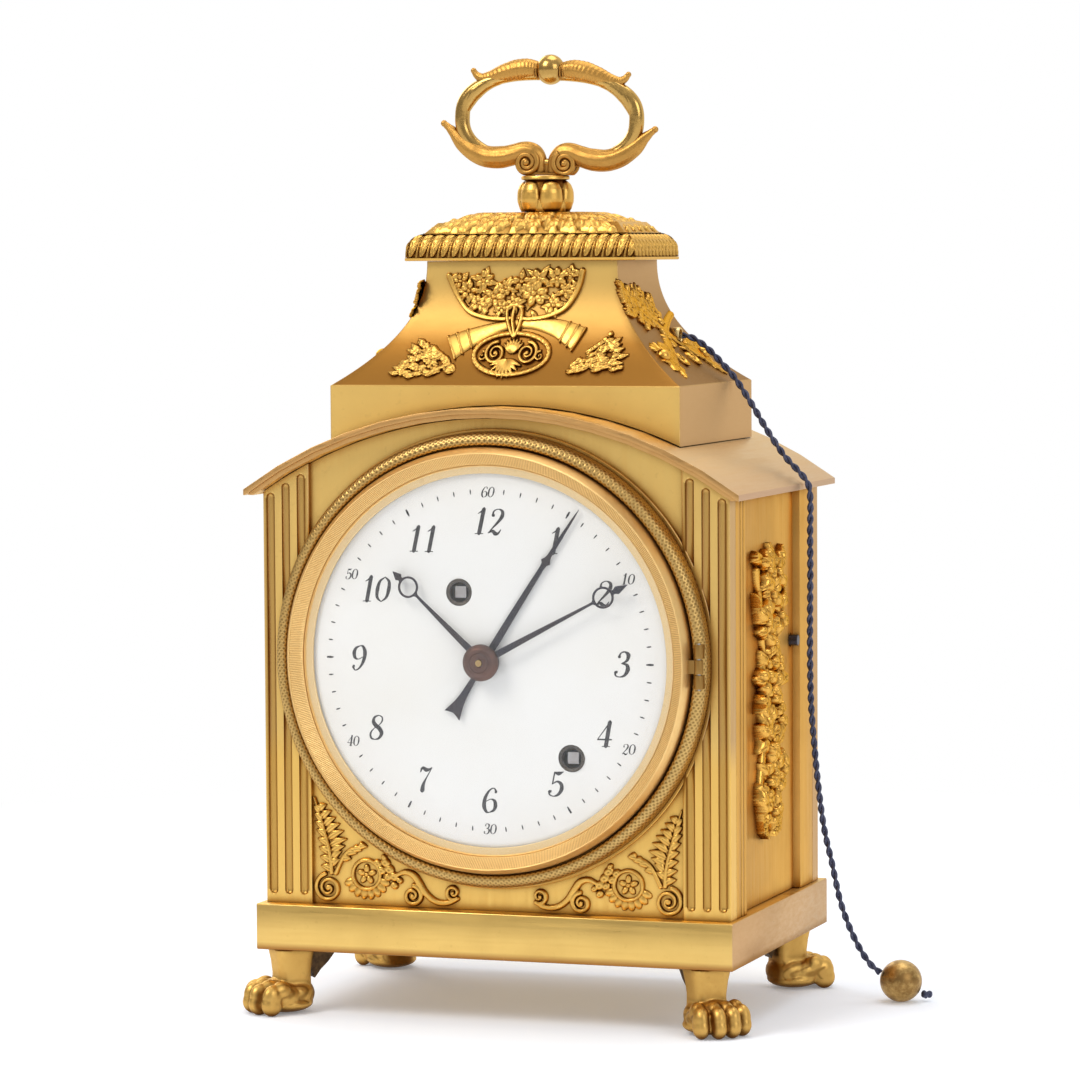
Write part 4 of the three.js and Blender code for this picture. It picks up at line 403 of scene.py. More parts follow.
class Shape:
    """Points and faces that are gathered into one mesh."""

    def __init__(self):
        self.points, self.faces, self.hollow, self.count = [], [], [], 0

    def add(self, points, faces, hollow=None):
        points = np.asarray(points, float).reshape(-1, 3)
        self.points.append(points)
        self.faces.extend([[i + self.count for i in f] for f in faces])
        self.hollow.append(np.zeros(len(points)) if hollow is None else np.asarray(hollow, float).ravel())
        self.count += len(points)

    def grid(self, grid, around=False, over=False, keep=None, hollow=None):
        """A grid of points, joined round its first axis, its second or neither. keep masks its points."""
        rows, columns = grid.shape[:2]
        i = np.arange(rows if around else rows - 1)
        j = np.arange(columns if over else columns - 1)
        i, j = np.meshgrid(i, j, indexing="ij")
        up, right = (i + 1) % rows, (j + 1) % columns
        faces = np.stack([i * columns + j, up * columns + j, up * columns + right, i * columns + right], -1)
        faces = faces.reshape(-1, 4)
        if keep is not None:
            faces = faces[keep.ravel()[faces].any(1)]
        used, inverse = np.unique(faces, return_inverse=True)
        points = grid.reshape(-1, 3)[used]
        self.add(points, inverse.reshape(-1, 4).tolist(), None if hollow is None else np.ravel(hollow)[used])

    def turned(self, profile, steps, centre=(0, 0), axis="y"):
        """A profile of (radius, place along the axis) turned round an axis through centre."""
        radius, along = np.array(profile, float).T
        a, b = polar(centre, radius, angles(steps)[:, None])
        along = along + 0 * a
        self.grid(np.stack({"y": (a, along, b), "z": (a, b, along), "x": (along, a, b)}[axis], -1), around=True)

    def box(self, low, high):
        x0, y0, z0 = low
        x1, y1, z1 = high
        points = [(x, y, z) for z in (z0, z1) for y in (y0, y1) for x in (x0, x1)]
        self.add(points, [(0, 1, 3, 2), (4, 6, 7, 5), (0, 4, 5, 1), (2, 3, 7, 6), (0, 2, 6, 4), (1, 5, 7, 3)])

    def ball(self, centre, radii, around=32, tall=16):
        a, b = angles(around)[:, None], np.linspace(0.001, math.pi - 0.001, tall)[None, :]
        x, y = polar(centre, (radii[0] * np.sin(b), radii[1] * np.sin(b)), a)
        self.grid(np.stack([x, y, centre[2] + radii[2] * np.cos(b) + 0 * a], -1), around=True)

    def thread(self, line, radius, ways):
        """A cord along points in space, with the radius of its section's corners and two ways square to it."""
        side, out = (way[:, None, :] for way in ways)
        b = angles(CORD_SIDES)[None, :, None]
        radius = (radius * np.ones(CORD_SIDES))[None, :, None]
        self.grid(line[:, None, :] + radius * (np.cos(b) * side + np.sin(b) * out), over=True)

    def make(self, name, material, **more):
        hollow = np.concatenate(self.hollow)
        return mesh_object(name, np.concatenate(self.points), self.faces, material, hollow=hollow, **more)


def square_to(line, other):
    """Two ways square to a line at each of its points, the first also square to other."""
    along = unit(np.gradient(line, axis=0))
    side = unit(np.cross(along, other))
    return side, np.cross(along, side)


def flat_shape(name, loops, front, back, material, edge=0.0, at=(0, 0), **more):
    """Closed outlines in x and z, the first with the others as holes, made into a plate from front to back in y."""
    curve = bpy.data.curves.new(name + "_outline", "CURVE")
    curve.dimensions = "2D"
    curve.fill_mode = "BOTH"
    curve.extrude = max((back - front) / 2 - edge, 0.001) * MM
    curve.bevel_depth = edge * MM
    curve.bevel_resolution = 1
    curve.offset = -edge * MM
    for loop in loops:
        spline = curve.splines.new("POLY")
        spline.points.add(len(loop) - 1)
        for point, (x, z) in zip(spline.points, loop):
            point.co = (x * MM, z * MM, 0, 1)
        spline.use_cyclic_u = True
    helper = link(bpy.data.objects.new(name + "_helper", curve))
    mesh = evaluated(helper)
    bpy.data.objects.remove(helper)
    bpy.data.curves.remove(curve)
    points, faces = points_of(mesh) / MM, [list(p.vertices) for p in mesh.polygons]
    bpy.data.meshes.remove(mesh)
    placed = np.stack([points[:, 0] + at[0], (front + back) / 2 - points[:, 2], points[:, 1] + at[1]], -1)
    return mesh_object(name, placed, faces, material, **more)


def circle(radius, steps, centre=(0, 0)):
    return [polar(centre, radius, a) for a in angles(steps)]


def arch_z(radius, x):
    return ARCH_Z + np.sqrt(radius * radius - np.asarray(x, float) ** 2)


def hood_half(z):
    """Half the width and depth of the hood at a height."""
    climb = np.clip((np.asarray(z, float) - BLOCK_TOP) / (HOOD_TOP - BLOCK_TOP), 0, 1)
    share = 1 - (1 - climb) ** HOOD_POWER
    return [block + (neck - block) * share for block, neck in zip(BLOCK_HALF, NECK_HALF)]


def curve_through(points, count):
    """Points along a smooth curve through the given ones."""
    points = np.asarray(points, float)
    ends = np.vstack([2 * points[0] - points[1], points, 2 * points[-1] - points[-2]])
    out = []
    per = max(2, count // (len(points) - 1))
    for k in range(1, len(ends) - 2):
        a, b, c, d = ends[k - 1:k + 3]
        for t in np.linspace(0, 1, per, endpoint=False):
            out.append(0.5 * (2 * b + (c - a) * t + (2 * a - 5 * b + 4 * c - d) * t ** 2
                              + (3 * b - a - 3 * c + d) * t ** 3))
    out.append(points[-1])
    return np.array(out)


def spread(values, count):
    """values at even shares of a way, read at count even shares of it."""
    return np.interp(np.linspace(0, 1, count), np.linspace(0, 1, len(values)), values)


# ---- Carving: height fields on which forms are laid one over another ----

# How far the field lies under the surface where nothing is carved
SINK = 0.25


class Carving:
    def __init__(self, u0, u1, v0, v1, step):
        u, v = np.arange(u0, u1 + step, step), np.arange(v0, v1 + step, step)
        self.u, self.v = np.meshgrid(u, v, indexing="ij")
        self.h = np.full(self.u.shape, -SINK)
        self.step = step

    def lay(self, h):
        self.h = np.maximum(self.h, h)

    def cut(self, u, v, radius, where=True):
        self.h[where & (np.hypot(self.u - u, self.v - v) < radius)] = -SINK

    def dome(self, cu, cv, ru, rv, height, turn=0.0, hole=0.0):
        """An oval swelling, turned by degrees, with a hole in its middle as deep as a share of its height."""
        a = math.radians(turn)
        x = (self.u - cu) * math.cos(a) + (self.v - cv) * math.sin(a)
        y = (self.v - cv) * math.cos(a) - (self.u - cu) * math.sin(a)
        d = (x / ru) ** 2 + (y / rv) ** 2
        h = height * np.sqrt(np.clip(1 - d, 0, 1)) - hole * height * np.exp(-d / 0.08)
        self.lay(np.where(d < 1, h, -SINK))

    def stroke(self, points, radii, heights, groove=0.0):
        """A rounded cord along points, with a radius and a height at each."""
        points = np.asarray(points, float)
        radii, heights = (np.broadcast_to(np.asarray(v, float), len(points)) for v in (radii, heights))
        for k in range(len(points) - 1):
            p, q = points[k], points[k + 1]
            reach = max(radii[k], radii[k + 1]) + self.step
            lo, hi = np.minimum(p, q) - reach, np.maximum(p, q) + reach
            i0, i1 = np.searchsorted(self.u[:, 0], (lo[0], hi[0]))
            j0, j1 = np.searchsorted(self.v[0], (lo[1], hi[1]))
            if i0 >= i1 or j0 >= j1:
                continue
            u, v = self.u[i0:i1, j0:j1], self.v[i0:i1, j0:j1]
            along = q - p
            t = np.clip(((u - p[0]) * along[0] + (v - p[1]) * along[1]) / max(along @ along, 1e-9), 0, 1)
            d = np.hypot(u - p[0] - t * along[0], v - p[1] - t * along[1])
            r = radii[k] + t * (radii[k + 1] - radii[k])
            top = heights[k] + t * (heights[k + 1] - heights[k])
            h = top * np.sqrt(np.clip(1 - (d / r) ** 2, 0, 1)) - groove * top * np.exp(-((d / (0.3 * r)) ** 2))
            part = self.h[i0:i1, j0:j1]
            part[:] = np.maximum(part, np.where(d < r, h, -SINK))

    def leaf(self, base, tip, width, height, bend=0.0, veins=0, rib=0.35):
        """A pointed leaf from base to tip, bowed sideways by bend, with a midrib and veins."""
        base, tip = np.asarray(base, float), np.asarray(tip, float)
        length = np.hypot(*(tip - base))
        a, b = (tip - base) / length
        x = ((self.u - base[0]) * a + (self.v - base[1]) * b) / length
        y = -(self.u - base[0]) * b + (self.v - base[1]) * a - bend * np.sin(math.pi * np.clip(x, 0, 1))
        inside = (x > 0) & (x < 1)
        s = np.clip(x, 1e-4, 1)
        half = width * np.sin(math.pi * s ** 0.75) ** 0.8 + 1e-6
        if veins:
            half = half * (1 - 0.16 * np.abs(np.sin(math.pi * veins * s)))
        d = np.abs(y) / half
        h = height * (0.45 + 0.55 * np.sin(math.pi * s)) * np.sqrt(np.clip(1 - d * d, 0, 1))
        h = h - rib * height * np.exp(-((y / (0.2 * width)) ** 2)) * (1 - s)
        if veins:
            h = h - 0.13 * height * np.clip(np.sin(2 * math.pi * (veins * s - 0.9 * d)), 0, 1)
        self.lay(np.where(inside & (d < 1), h, -SINK))

    def fan(self, base, radii, turns, *leaf, **more):
        """Leaves from one base, at turns in degrees, with their tips on an ellipse round it."""
        for a in np.radians(turns):
            self.leaf(base, polar(base, radii, a), *leaf, **more)

    def spiral(self, centre, radius, turns, start, way, thick, height):
        """A volute that winds in from radius, ending in a round eye. way is 1 or -1."""
        t = np.linspace(0, 1, int(28 * turns))
        r = radius * (1 - t) ** 0.85 + 0.12 * radius * t
        points = np.stack(polar(centre, r, math.radians(start) + way * 2 * math.pi * turns * t), -1)
        self.stroke(points, thick * (1 - 0.5 * t), height)
        self.dome(*centre, 0.24 * radius, 0.24 * radius, height * 1.2)

    def flower(self, u, v, size, height, petals=5, start=0.0):
        for k in range(petals):
            a = start + 2 * math.pi * k / petals
            far = 0.58 * size * (1 + 0.12 * math.sin(5 * a))
            high = height * (0.86 + 0.14 * math.cos(3 * a))
            self.dome(*polar((u, v), far, a), 0.52 * size, 0.36 * size, high, math.degrees(a), hole=0.16)
        self.dome(u, v, 0.28 * size, 0.28 * size, height * 1.12)

    def cluster(self, corners, count, size, height, seed):
        """Small leaves and berries that fill a triangle and point away from its first corner."""
        draw = np.random.default_rng(seed)
        heart, one, other = (np.array(c, float) for c in corners)
        for k in range(count):
            far, across = draw.uniform(0.05, 1) ** 0.6, draw.uniform(0, 1)
            p = heart + far * (one + across * (other - one) - heart)
            way = (p - heart) / np.hypot(*(p - heart))
            high = height * draw.uniform(0.7, 1)
            if k % 3:
                self.leaf(p - size * way, p + 1.2 * size * way, 0.5 * size, high, bend=0.2 * (-1) ** k, veins=2)
            else:
                self.dome(*p, 0.45 * size, 0.4 * size, high, hole=0.2)

    def soften(self, top):
        """Bends everything above half of top smoothly under it."""
        low = top / 2
        self.h = np.where(self.h > low, low + low * np.tanh((self.h - low) / low), self.h)

    def hollows(self):
        """How deep each point lies below its surroundings, and how low it lies, from 0 to 1: the carving's painted
        shade.
        """
        wide = self.h.copy()
        for axis in (0, 1) * 6:
            wide = (np.roll(wide, 1, axis) + 2 * wide + np.roll(wide, -1, axis)) / 4
        deep = np.clip((wide - self.h) * 5.0, 0, 1)
        return np.clip(deep + np.clip(0.35 - self.h, 0, 1) * 0.9, 0, 1)

    def onto(self, shape, place, hollow=None):
        """Puts the carving on a surface: place(u, v, h) gives x, y and z."""
        hollow = self.hollows() if hollow is None else hollow
        shape.grid(np.stack(place(self.u, self.v, self.h), -1), keep=self.h > -SINK + 1e-6, hollow=hollow)

    def mount(self, name, node, material, place):
        shape = Shape()
        self.onto(shape, place)
        return shape.make(name, material, replaces=node, angle=60)


# ---- Copies of plain pieces with softened edges ----

def smooth_copy(node, material, body, width):
    """A copy of a node's mesh with its sharp edges rounded by a width in millimetres."""
    piece = link(bpy.data.objects.new(node + "_finished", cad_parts[node].data.copy()))
    work = bmesh.new()
    work.from_mesh(piece.data)
    bmesh.ops.remove_doubles(work, verts=work.verts, dist=0.002 * MM)
    bmesh.ops.dissolve_limit(
        work, angle_limit=math.radians(1), use_dissolve_boundaries=False, verts=work.verts, edges=work.edges,
    )
    sharp = [e for e in work.edges if len(e.link_faces) == 2 and e.calc_face_angle() > math.radians(35)]
    bmesh.ops.bevel(
        work, geom=sharp, offset=width * MM, segments=2, profile=0.5, affect="EDGES", clamp_overlap=True,
    )
    work.to_mesh(piece.data)
    work.free()
    dress(piece.data, material)
    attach(piece, body)
    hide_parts(node)


smooth_copy("plinth", GILT_LEVEL, "case", 0.3)
smooth_copy("side_panel_right", GILT_SIDE, "case", 0.12)
smooth_copy("side_panel_left", GILT_SIDE, "case", 0.12)
smooth_copy("roof", GILT_ROOF, "case", 0.15)


# ---- Front wall ----

def pilaster(shape, side):
    """A fluted pilaster, drawn for the right side: x across, and rise as a share of its height."""
    left, right = SIDE_FACE - PILASTER, SIDE_FACE
    low = PLINTH_TOP + SEAT_GAP
    centres = [SIDE_FACE - PILASTER * (i + 0.5) / FLUTES for i in range(FLUTES)]
    columns = [left, left + 0.001, left + 0.25, right - 0.25, right - 0.001, right]
    for centre in centres:
        columns += list(centre + FLUTE_HALF * np.cos(np.linspace(0, math.pi, 15)))
    x = np.unique(np.round(columns, 4))
    rise = np.concatenate([np.linspace(0, 4, 28), np.linspace(4, 86, 30)[1:], np.linspace(86, 100, 90)[1:]]) / 100
    x, rise = np.meshgrid(x, rise, indexing="ij")
    z = low + rise * (arch_z(ROOF_UNDER - ARCH_GAP, x) - low)
    y = np.full(x.shape, FRONT_FACE)
    dark = np.zeros(x.shape)
    for centre in centres:
        foot = PLINTH_TOP + FLUTE_FOOT + FLUTE_HALF
        head = float(arch_z(ROOF_UNDER, centre)) - FLUTE_HEAD - FLUTE_HALF
        d = np.hypot(x - centre, z - np.clip(z, foot, head)) / FLUTE_HALF
        y = np.maximum(y, FRONT_FACE + FLUTE_DEPTH * np.sqrt(np.clip(1 - d * d, 0, 1)))
        # painted shade in the flutes, deepest at their edges
        dark = np.maximum(dark, np.where(d < 1, 0.35 + 0.55 * np.clip(d, 0, 1) ** 4, 0))
    y[0], y[-1], y[1], y[-2] = PANEL_BACK, PANEL_BACK, FRONT_FACE + 0.2, FRONT_FACE + 0.2
    shape.grid(np.stack([side * x, y, z], -1), hollow=dark)


def front_wall():
    xs = np.linspace(SIDE_FACE, -SIDE_FACE, 96)
    outline = [(-SIDE_FACE, PLINTH_TOP + SEAT_GAP), (SIDE_FACE, PLINTH_TOP + SEAT_GAP)]
    outline += list(zip(xs, arch_z(ROOF_UNDER - ARCH_GAP, xs)))
    plate = flat_shape(
        "front_wall_plate", [[(x, z - DIAL_Z) for x, z in outline], circle(OPENING_RADIUS, 180)],
        PANEL_FACE, PANEL_BACK, GILT_FRONT, at=(0, DIAL_Z),
    )
    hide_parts("front_panel")
    shape = Shape()
    for side in (-1, 1):
        pilaster(shape, side)
    # the raised seat of the rope ring
    shape.turned([
        (OPENING_RADIUS, PANEL_BACK), (OPENING_RADIUS, FRONT_FACE + 0.03), (SEAT_RING_RADIUS - 0.15, FRONT_FACE + 0.03),
        (SEAT_RING_RADIUS, FRONT_FACE + 0.18), (SEAT_RING_RADIUS, PANEL_FACE),
    ], 240, (0, DIAL_Z))
    shape.make("front_wall_pilasters", GILT_FRONT, replaces="front_panel")


front_wall()


# ---- Hood ----

def level(half, inset, corner, along, height):
    """Points round a rectangle with rounded corners, at a height or at heights that follow from x."""
    points = []
    for quarter in range(4):
        turn = quarter * math.pi / 2
        # the quarter's own half sizes, its first side running along its own y
        hx, hy = (size - inset for size in (half if quarter % 2 == 0 else half[::-1]))
        local = [(hx, t) for t in np.linspace(-hy + corner, hy - corner, along)]
        local += [polar((hx - corner, hy - corner), corner, a) for a in np.linspace(0, math.pi / 2, 5)[1:-1]]
        points += [(x * math.cos(turn) - y * math.sin(turn), x * math.sin(turn) + y * math.cos(turn)) for x, y in local]
    points = np.array(points)
    z = height(points[:, 0]) if callable(height) else np.full(len(points), height)
    return np.column_stack([points, z])


def hood():
    shape = Shape()
    for inset in (0, HOOD_WALL):
        rows = [level(BLOCK_HALF, inset, 0.35, 30, lambda x: arch_z(ROOF_TOP_RADIUS + ARCH_GAP, x))]
        for z in (BLOCK_TOP - 0.01, *np.linspace(BLOCK_TOP, HOOD_TOP, 48)):
            rows.append(level(tuple(hood_half(z)), inset, 0.35, 30, z))
        shape.grid(np.array(rows), over=True)
    shape.make("hood_shell", GILT_HOOD, replaces="hood", angle=28)


hood()


# ---- Cap ----

def ovolo_leaves(shape, side, low):
    """The hanging leaves of one side of the ovolo, along the side and up the curve."""
    hx, hy = CAP_HALF if side % 2 == 0 else CAP_HALF[::-1]
    count = 21 if side % 2 == 0 else 13
    u, up = np.meshgrid(np.arange(-hx, hx + 0.14, 0.14), np.linspace(0, 1, 46), indexing="ij")
    offset = ((u + hx) / (2 * hx / count) - 0.55 * up) % 1 - 0.5
    # a broad leaf that hangs from the top, with a rib and a notched tip
    half = 0.43 * np.sqrt(np.clip(1 - np.clip((0.55 - up) / 0.55, 0, 1) ** 2.2, 0, 1)) + 1e-3
    leaf = 0.95 * np.sqrt(np.clip(1 - (offset / half) ** 2, 0, 1))
    leaf -= 0.28 * np.exp(-((offset / 0.09) ** 2)) * np.clip(1.2 - up, 0, 1)
    leaf -= 0.12 * np.clip(np.sin(2 * math.pi * (3.2 * up - 2.4 * np.abs(offset))), 0, 1)
    # a dart between two leaves
    between = np.abs(np.abs(offset) - 0.5)
    dart = 0.45 * np.sqrt(np.clip(1 - (between / (0.02 + 0.13 * (1 - up))) ** 2, 0, 1))
    height = np.maximum(leaf, dart)
    a = up * math.pi / 2
    inset = OVOLO_LIP + (OVOLO_INSET - OVOLO_LIP) * (1 - np.cos(a))
    out = np.cos(a) * height * 0.85
    across = np.clip(u, -(hx - inset + out), hx - inset + out)
    away = hy - inset + out
    z = low + OVOLO_HEIGHT * np.sin(a) + 0.5 * np.sin(a) * height
    turn = side * math.pi / 2
    x = across * math.cos(turn) + away * math.sin(turn)
    y = across * math.sin(turn) - away * math.cos(turn)
    # painted shade where the carving is low, between and round the leaves
    shape.grid(np.stack([x, y, z], -1), hollow=np.clip(0.85 - height * 1.1, 0, 1))


def cushion(shape):
    """Acanthus that spreads from under the knop over the whole top of the cap, with curled tips."""
    square = 9
    hx, hy = (size - OVOLO_INSET + 0.9 for size in CAP_HALF)
    low = CAP_TOP - CAP_STEP_HEIGHT - 0.5
    rise = KNOP_BASE - low
    field = Carving(-hx, hx, -hy, hy, 0.15)
    x, y = field.u, field.v
    d = (np.abs(x / hx) ** square + np.abs(y / hy) ** square) ** (1 / square)
    mound = (rise - 1.0) * (1 - np.clip(d, 0, 1) ** 2.6) + 0.35
    # leaves reach out to the edge of the oblong, evenly along it
    a = np.linspace(0, 2 * math.pi, 721)
    rim = np.stack([np.cos(a), np.sin(a)], -1)
    rim *= (hx, hy) / (np.abs(rim) ** square).sum(1, keepdims=True) ** (1 / square)
    far = np.concatenate([[0], np.cumsum(np.hypot(*np.diff(rim, axis=0).T))])
    rings = ((30, 0.62, 0.995, 2.5, 1.25), (22, 0.38, 0.8, 2.4, 1.6), (16, 0.2, 0.56, 1.9, 1.6))
    for ring, (count, inner, outer, wide, high) in enumerate(rings):
        for k in range(count):
            way = np.array([np.interp((k + 0.5 * (ring % 2)) / count * far[-1], far, rim[:, n]) for n in (0, 1)])
            base, tip = inner * way, outer * way
            field.leaf(base, tip, wide, high, bend=0.3 * (-1) ** k, veins=3, rib=0.3)
            turn = math.degrees(math.atan2(way[1], way[0]))
            field.dome(*(0.92 * tip + 0.08 * base), 0.5 * wide, 0.4 * wide, 0.9 * high, turn)
    for a in angles(9):
        field.dome(*polar((0, 0), (9.2, 5.6), a), 1.1, 0.9, 1.5)
    field.h = np.clip(field.h, 0, None) * np.clip((1 - d) / 0.05, 0, 1)
    # painted shade under the knop's seat and in the hollows of the leaves
    seat = np.hypot(x - KNOP_X, y) < 6.1
    hollow = np.where(seat, 0.5, 0.7 * field.hollows())
    field.h = np.where(seat, rise - 0.03, np.minimum(mound + field.h, rise - 0.03))
    field.onto(shape, lambda u, v, h: (u, v, low + h), hollow)


def make_cap():
    shape = Shape()
    rim, ovolo, step = HOOD_TOP + SEAT_GAP, HOOD_TOP + CAP_RIM, CAP_TOP - CAP_STEP_HEIGHT
    levels = [(0.15, rim), (0, rim + 0.15), (0, ovolo - 0.1), (OVOLO_LIP, ovolo)]
    for a in np.linspace(0.12, math.pi / 2, 10):
        inset = OVOLO_LIP + (OVOLO_INSET - OVOLO_LIP) * (1 - math.cos(a))
        levels.append((inset, ovolo + OVOLO_HEIGHT * math.sin(a)))
    levels += [
        (OVOLO_INSET - 0.3, step - CAP_FILLET + 0.1), (OVOLO_INSET - 0.3, step), (OVOLO_INSET, step),
        (OVOLO_INSET + CAP_STEP_INSET, CAP_TOP), (13, CAP_TOP),
    ]
    shape.grid(np.array([level(CAP_HALF, inset, 0.2, 20, z) for inset, z in levels]), over=True)
    for side in range(4):
        ovolo_leaves(shape, side, ovolo)
    cushion(shape)
    shape.make("cap_carved", GILT_CARVED, replaces="cap", angle=50)


make_cap()


# ---- Knop and handle ----

def make_knop():
    a, t = np.meshgrid(angles(288), np.linspace(0, 1, 60), indexing="ij")
    petals, first_gap = 6, math.radians(-86)

    def lobes(phase, half):
        offset = ((a - first_gap) * petals / (2 * math.pi) + phase) % 1 - 0.5
        return np.sqrt(np.clip(1 - (offset / half) ** 2, 0, 1))

    core = np.interp(t, [0, 0.1, 0.4, 0.7, 0.92, 1], [4.9, 5.1, 5.3, 5.2, 4.8, 4.5])
    broad = np.interp(t, [0, 0.08, 0.35, 0.7, 0.9, 1], [0.42, 0.49, 0.52, 0.47, 0.36, 0.05])
    swell = np.interp(t, [0, 0.08, 0.3, 0.6, 0.85, 0.97, 1], [0.5, 0.95, 1.35, 1.4, 1.1, 0.5, 0.1])
    small = 0.9 * lobes(0.5, np.clip(0.24 * (0.42 - t) / 0.42, 0.001, 1)) * (t < 0.42)
    height = np.maximum(swell * lobes(0.0, broad), small)
    x, y = polar((KNOP_X, 0), np.minimum(core + height, KNOP_RADIUS), a)
    z = KNOP_BASE + SEAT_GAP + t * (KNOP_HEIGHT - SEAT_GAP)
    shape = Shape()
    # painted shade between the petals, where they are low
    shape.grid(np.stack([x, y, z], -1), around=True, hollow=np.clip(0.95 - 1.25 * height, 0, 1))
    top, plate = KNOP_BASE + KNOP_HEIGHT, KNOP_BASE + KNOP_HEIGHT + KNOP_PLATE_HEIGHT
    shape.turned([
        (0.001, top - 0.1), (4.8, top - 0.1), (KNOP_PLATE_RADIUS, top + 0.15), (KNOP_PLATE_RADIUS, plate - 0.2),
        (KNOP_PLATE_RADIUS - 0.2, plate), (0.001, plate),
    ], 72, (KNOP_X, 0), axis="z")
    shape.make("knop_petals", GILT_CARVED, replaces="knop", angle=60)


make_knop()


def tube(shape, line, radius, sides=20, flat=1.0, ridge=None, closed=False):
    """A tube in the plane of x and z along line, an array of (x, z), with a radius at each point."""
    along = unit(np.roll(line, -1, 0) - np.roll(line, 1, 0) if closed else np.gradient(line, axis=0))
    a = angles(sides)[None, :]
    r = radius[:, None] * np.ones_like(a)
    if ridge is not None:
        r = r * ridge(np.arange(len(line))[:, None] / len(line), a)
    x = line[:, :1] + along[:, 1:] * r * np.cos(a)
    z = line[:, 1:] - along[:, :1] * r * np.cos(a)
    shape.grid(np.stack([x, flat * r * np.sin(a), z], -1), around=closed, over=True)


def lean(shape):
    """Leans the gathered points about the handle's foot, top to the right."""
    a = math.radians(HANDLE_LEAN)
    for points in shape.points:
        x, z = points[:, 0].copy(), points[:, 2] - HANDLE_FOOT
        points[:, 0] = HANDLE_SHIFT + x * math.cos(a) + z * math.sin(a)
        points[:, 2] = np.maximum(HANDLE_FOOT + z * math.cos(a) - x * math.sin(a), HANDLE_FOOT + SEAT_GAP)


def upper_skin(p, a):
    """Fine scales that slant away from the leaf's midrib."""
    return (1 + 0.013 * np.sin(2 * math.pi * 22 * p + 6 * np.abs(np.sin(a))) + 0.012 * np.cos(9 * a)
            + 0.03 * np.cos(2 * a))


def lower_skin(p, a):
    """Long, shallow furrows that twist with the leaf."""
    return (1 + 0.02 * np.cos(6 * a + 5 * p) + 0.012 * np.cos(13 * a - 9 * p)
            + 0.008 * np.sin(2 * math.pi * 9 * p + 4 * np.sin(a)))


# The handle's leaves on its right half, as (x, height from its middle, radius)
UPPER_LEAF = (
    (2.4, 10.9, 1.7), (4.0, 11.2, 2.1), (6.0, 11.3, 2.35), (8.6, 10.9, 2.4), (11.6, 10.1, 2.05), (14.4, 9.2, 1.55),
    (16.6, 8.9, 1.15), (18.0, 9.5, 0.85), (18.9, 10.5, 0.62),
)
UNDER_LEAF = (
    (11.5, 8.9, 1.0), (15.3, 7.8, 1.6), (18.2, 5.8, 1.85), (19.9, 3.6, 1.7), (21.0, 1.2, 1.3), (21.3, 0.0, 0.9),
)
LOWER_LEAF = (
    (25.7, -1.9, 0.7), (24.7, -2.7, 0.85), (23.3, -3.9, 1.25), (21.2, -6.0, 1.9), (18.2, -8.0, 2.35),
    (14.8, -9.2, 2.55), (11.2, -9.2, 2.6), (8.2, -8.5, 2.45), (5.6, -7.6, 2.2), (3.5, -7.9, 2.1), (2.2, -9.4, 1.9),
    (1.8, -11.2, 1.7), (1.75, -12.4, 1.6),
)


def make_handle():
    loop, leaves, balls = Shape(), Shape(), Shape()
    m = HANDLE_MIDDLE
    # the loop is polished where it is bare and hidden under the leaves elsewhere
    t = np.arange(480) / 480
    c, s = np.cos(2 * math.pi * t), np.sin(2 * math.pi * t)
    round_x, round_z = (np.sign(v) * np.abs(v) ** HANDLE_SQUARENESS for v in (c, s))
    swell = np.interp(
        t, [0, 0.05, 0.12, 0.2, 0.3, 0.38, 0.45, 0.5, 0.56, 0.66, 0.75, 0.84, 0.94, 1],
        [1.75, 1.7, 1.5, 1.3, 1.3, 1.5, 1.7, 1.75, 1.7, 1.4, 0.9, 1.4, 1.7, 1.75],
    )
    line = np.stack([HANDLE_HALF[0] * round_x, m + HANDLE_HALF[1] * round_z], -1)
    tube(loop, line, swell, 24, closed=True)
    for side in (-1, 1):
        for target, course, number, skin in (
            (leaves, UPPER_LEAF, 160, upper_skin), (loop, UNDER_LEAF, 60, None), (leaves, LOWER_LEAF, 190, lower_skin),
        ):
            line = curve_through([(side * x, m + z) for x, z, _ in course], number)
            tube(target, line, spread([r for _, _, r in course], len(line)), 54, 0.92, skin)
        for x, z, size in ((18.95, 10.6, 0.68), (25.85, -1.8, 0.78)):
            leaves.ball((side * x, 0, m + z), (size, size, size), 20, 12)
        # the lower leaf rolls into a volute on both faces
        cx, cz = side * 4.65, m - 10.3
        turn = np.linspace(0, 2.0 * 2 * math.pi, 130)
        r = 2.5 * (1 - turn / turn[-1]) ** 0.8 + 0.3
        line = np.stack(polar((cx, cz), (side * r, r), math.radians(120) + turn), -1)
        for face in (-1, 1):
            part = Shape()
            tube(part, line, np.linspace(0.72, 0.5, len(line)), 12)
            leaves.add(part.points[0] + (0, face * 1.55, 0), part.faces)
            leaves.ball((cx, face * 1.6, cz), (0.85, 0.75, 0.85), 20, 12)
        # painted shade on the disc in the middle of the volute
        coin = Shape()
        coin.turned([(0.001, -1.5), (2.35, -1.5), (2.35, 1.5), (0.001, 1.5)], 40, (cx, cz))
        leaves.add(np.vstack(coin.points), coin.faces, np.full(coin.count, 0.85))
        for out, radius in ((2.9, 2.2), (3.45, 1.95)):
            leaves.ball((side * out, 0, m + 10.95), (0.42, radius, radius), 32, 14)
    balls.ball((0, 0, m + HANDLE_HALF[1] + 1.2), (3.3, 3.3, 3.5), 64, 36)
    leaves.box((-3.3, -0.7, HANDLE_FOOT + SEAT_GAP), (3.3, 0.7, HANDLE_FOOT + 3.2))
    leaves.box((-4.8, -1.8, HANDLE_FOOT + SEAT_GAP), (4.8, 1.8, HANDLE_FOOT + 0.7))
    for shape, name, material in (
        (leaves, "handle_leaves", GILT_LEAFY), (loop, "handle_loop", GILT_DARK), (balls, "handle_ball", GILT_DARK),
    ):
        lean(shape)
        shape.make(name, material, replaces="handle", angle=60)


make_handle()


# ---- Feet ----

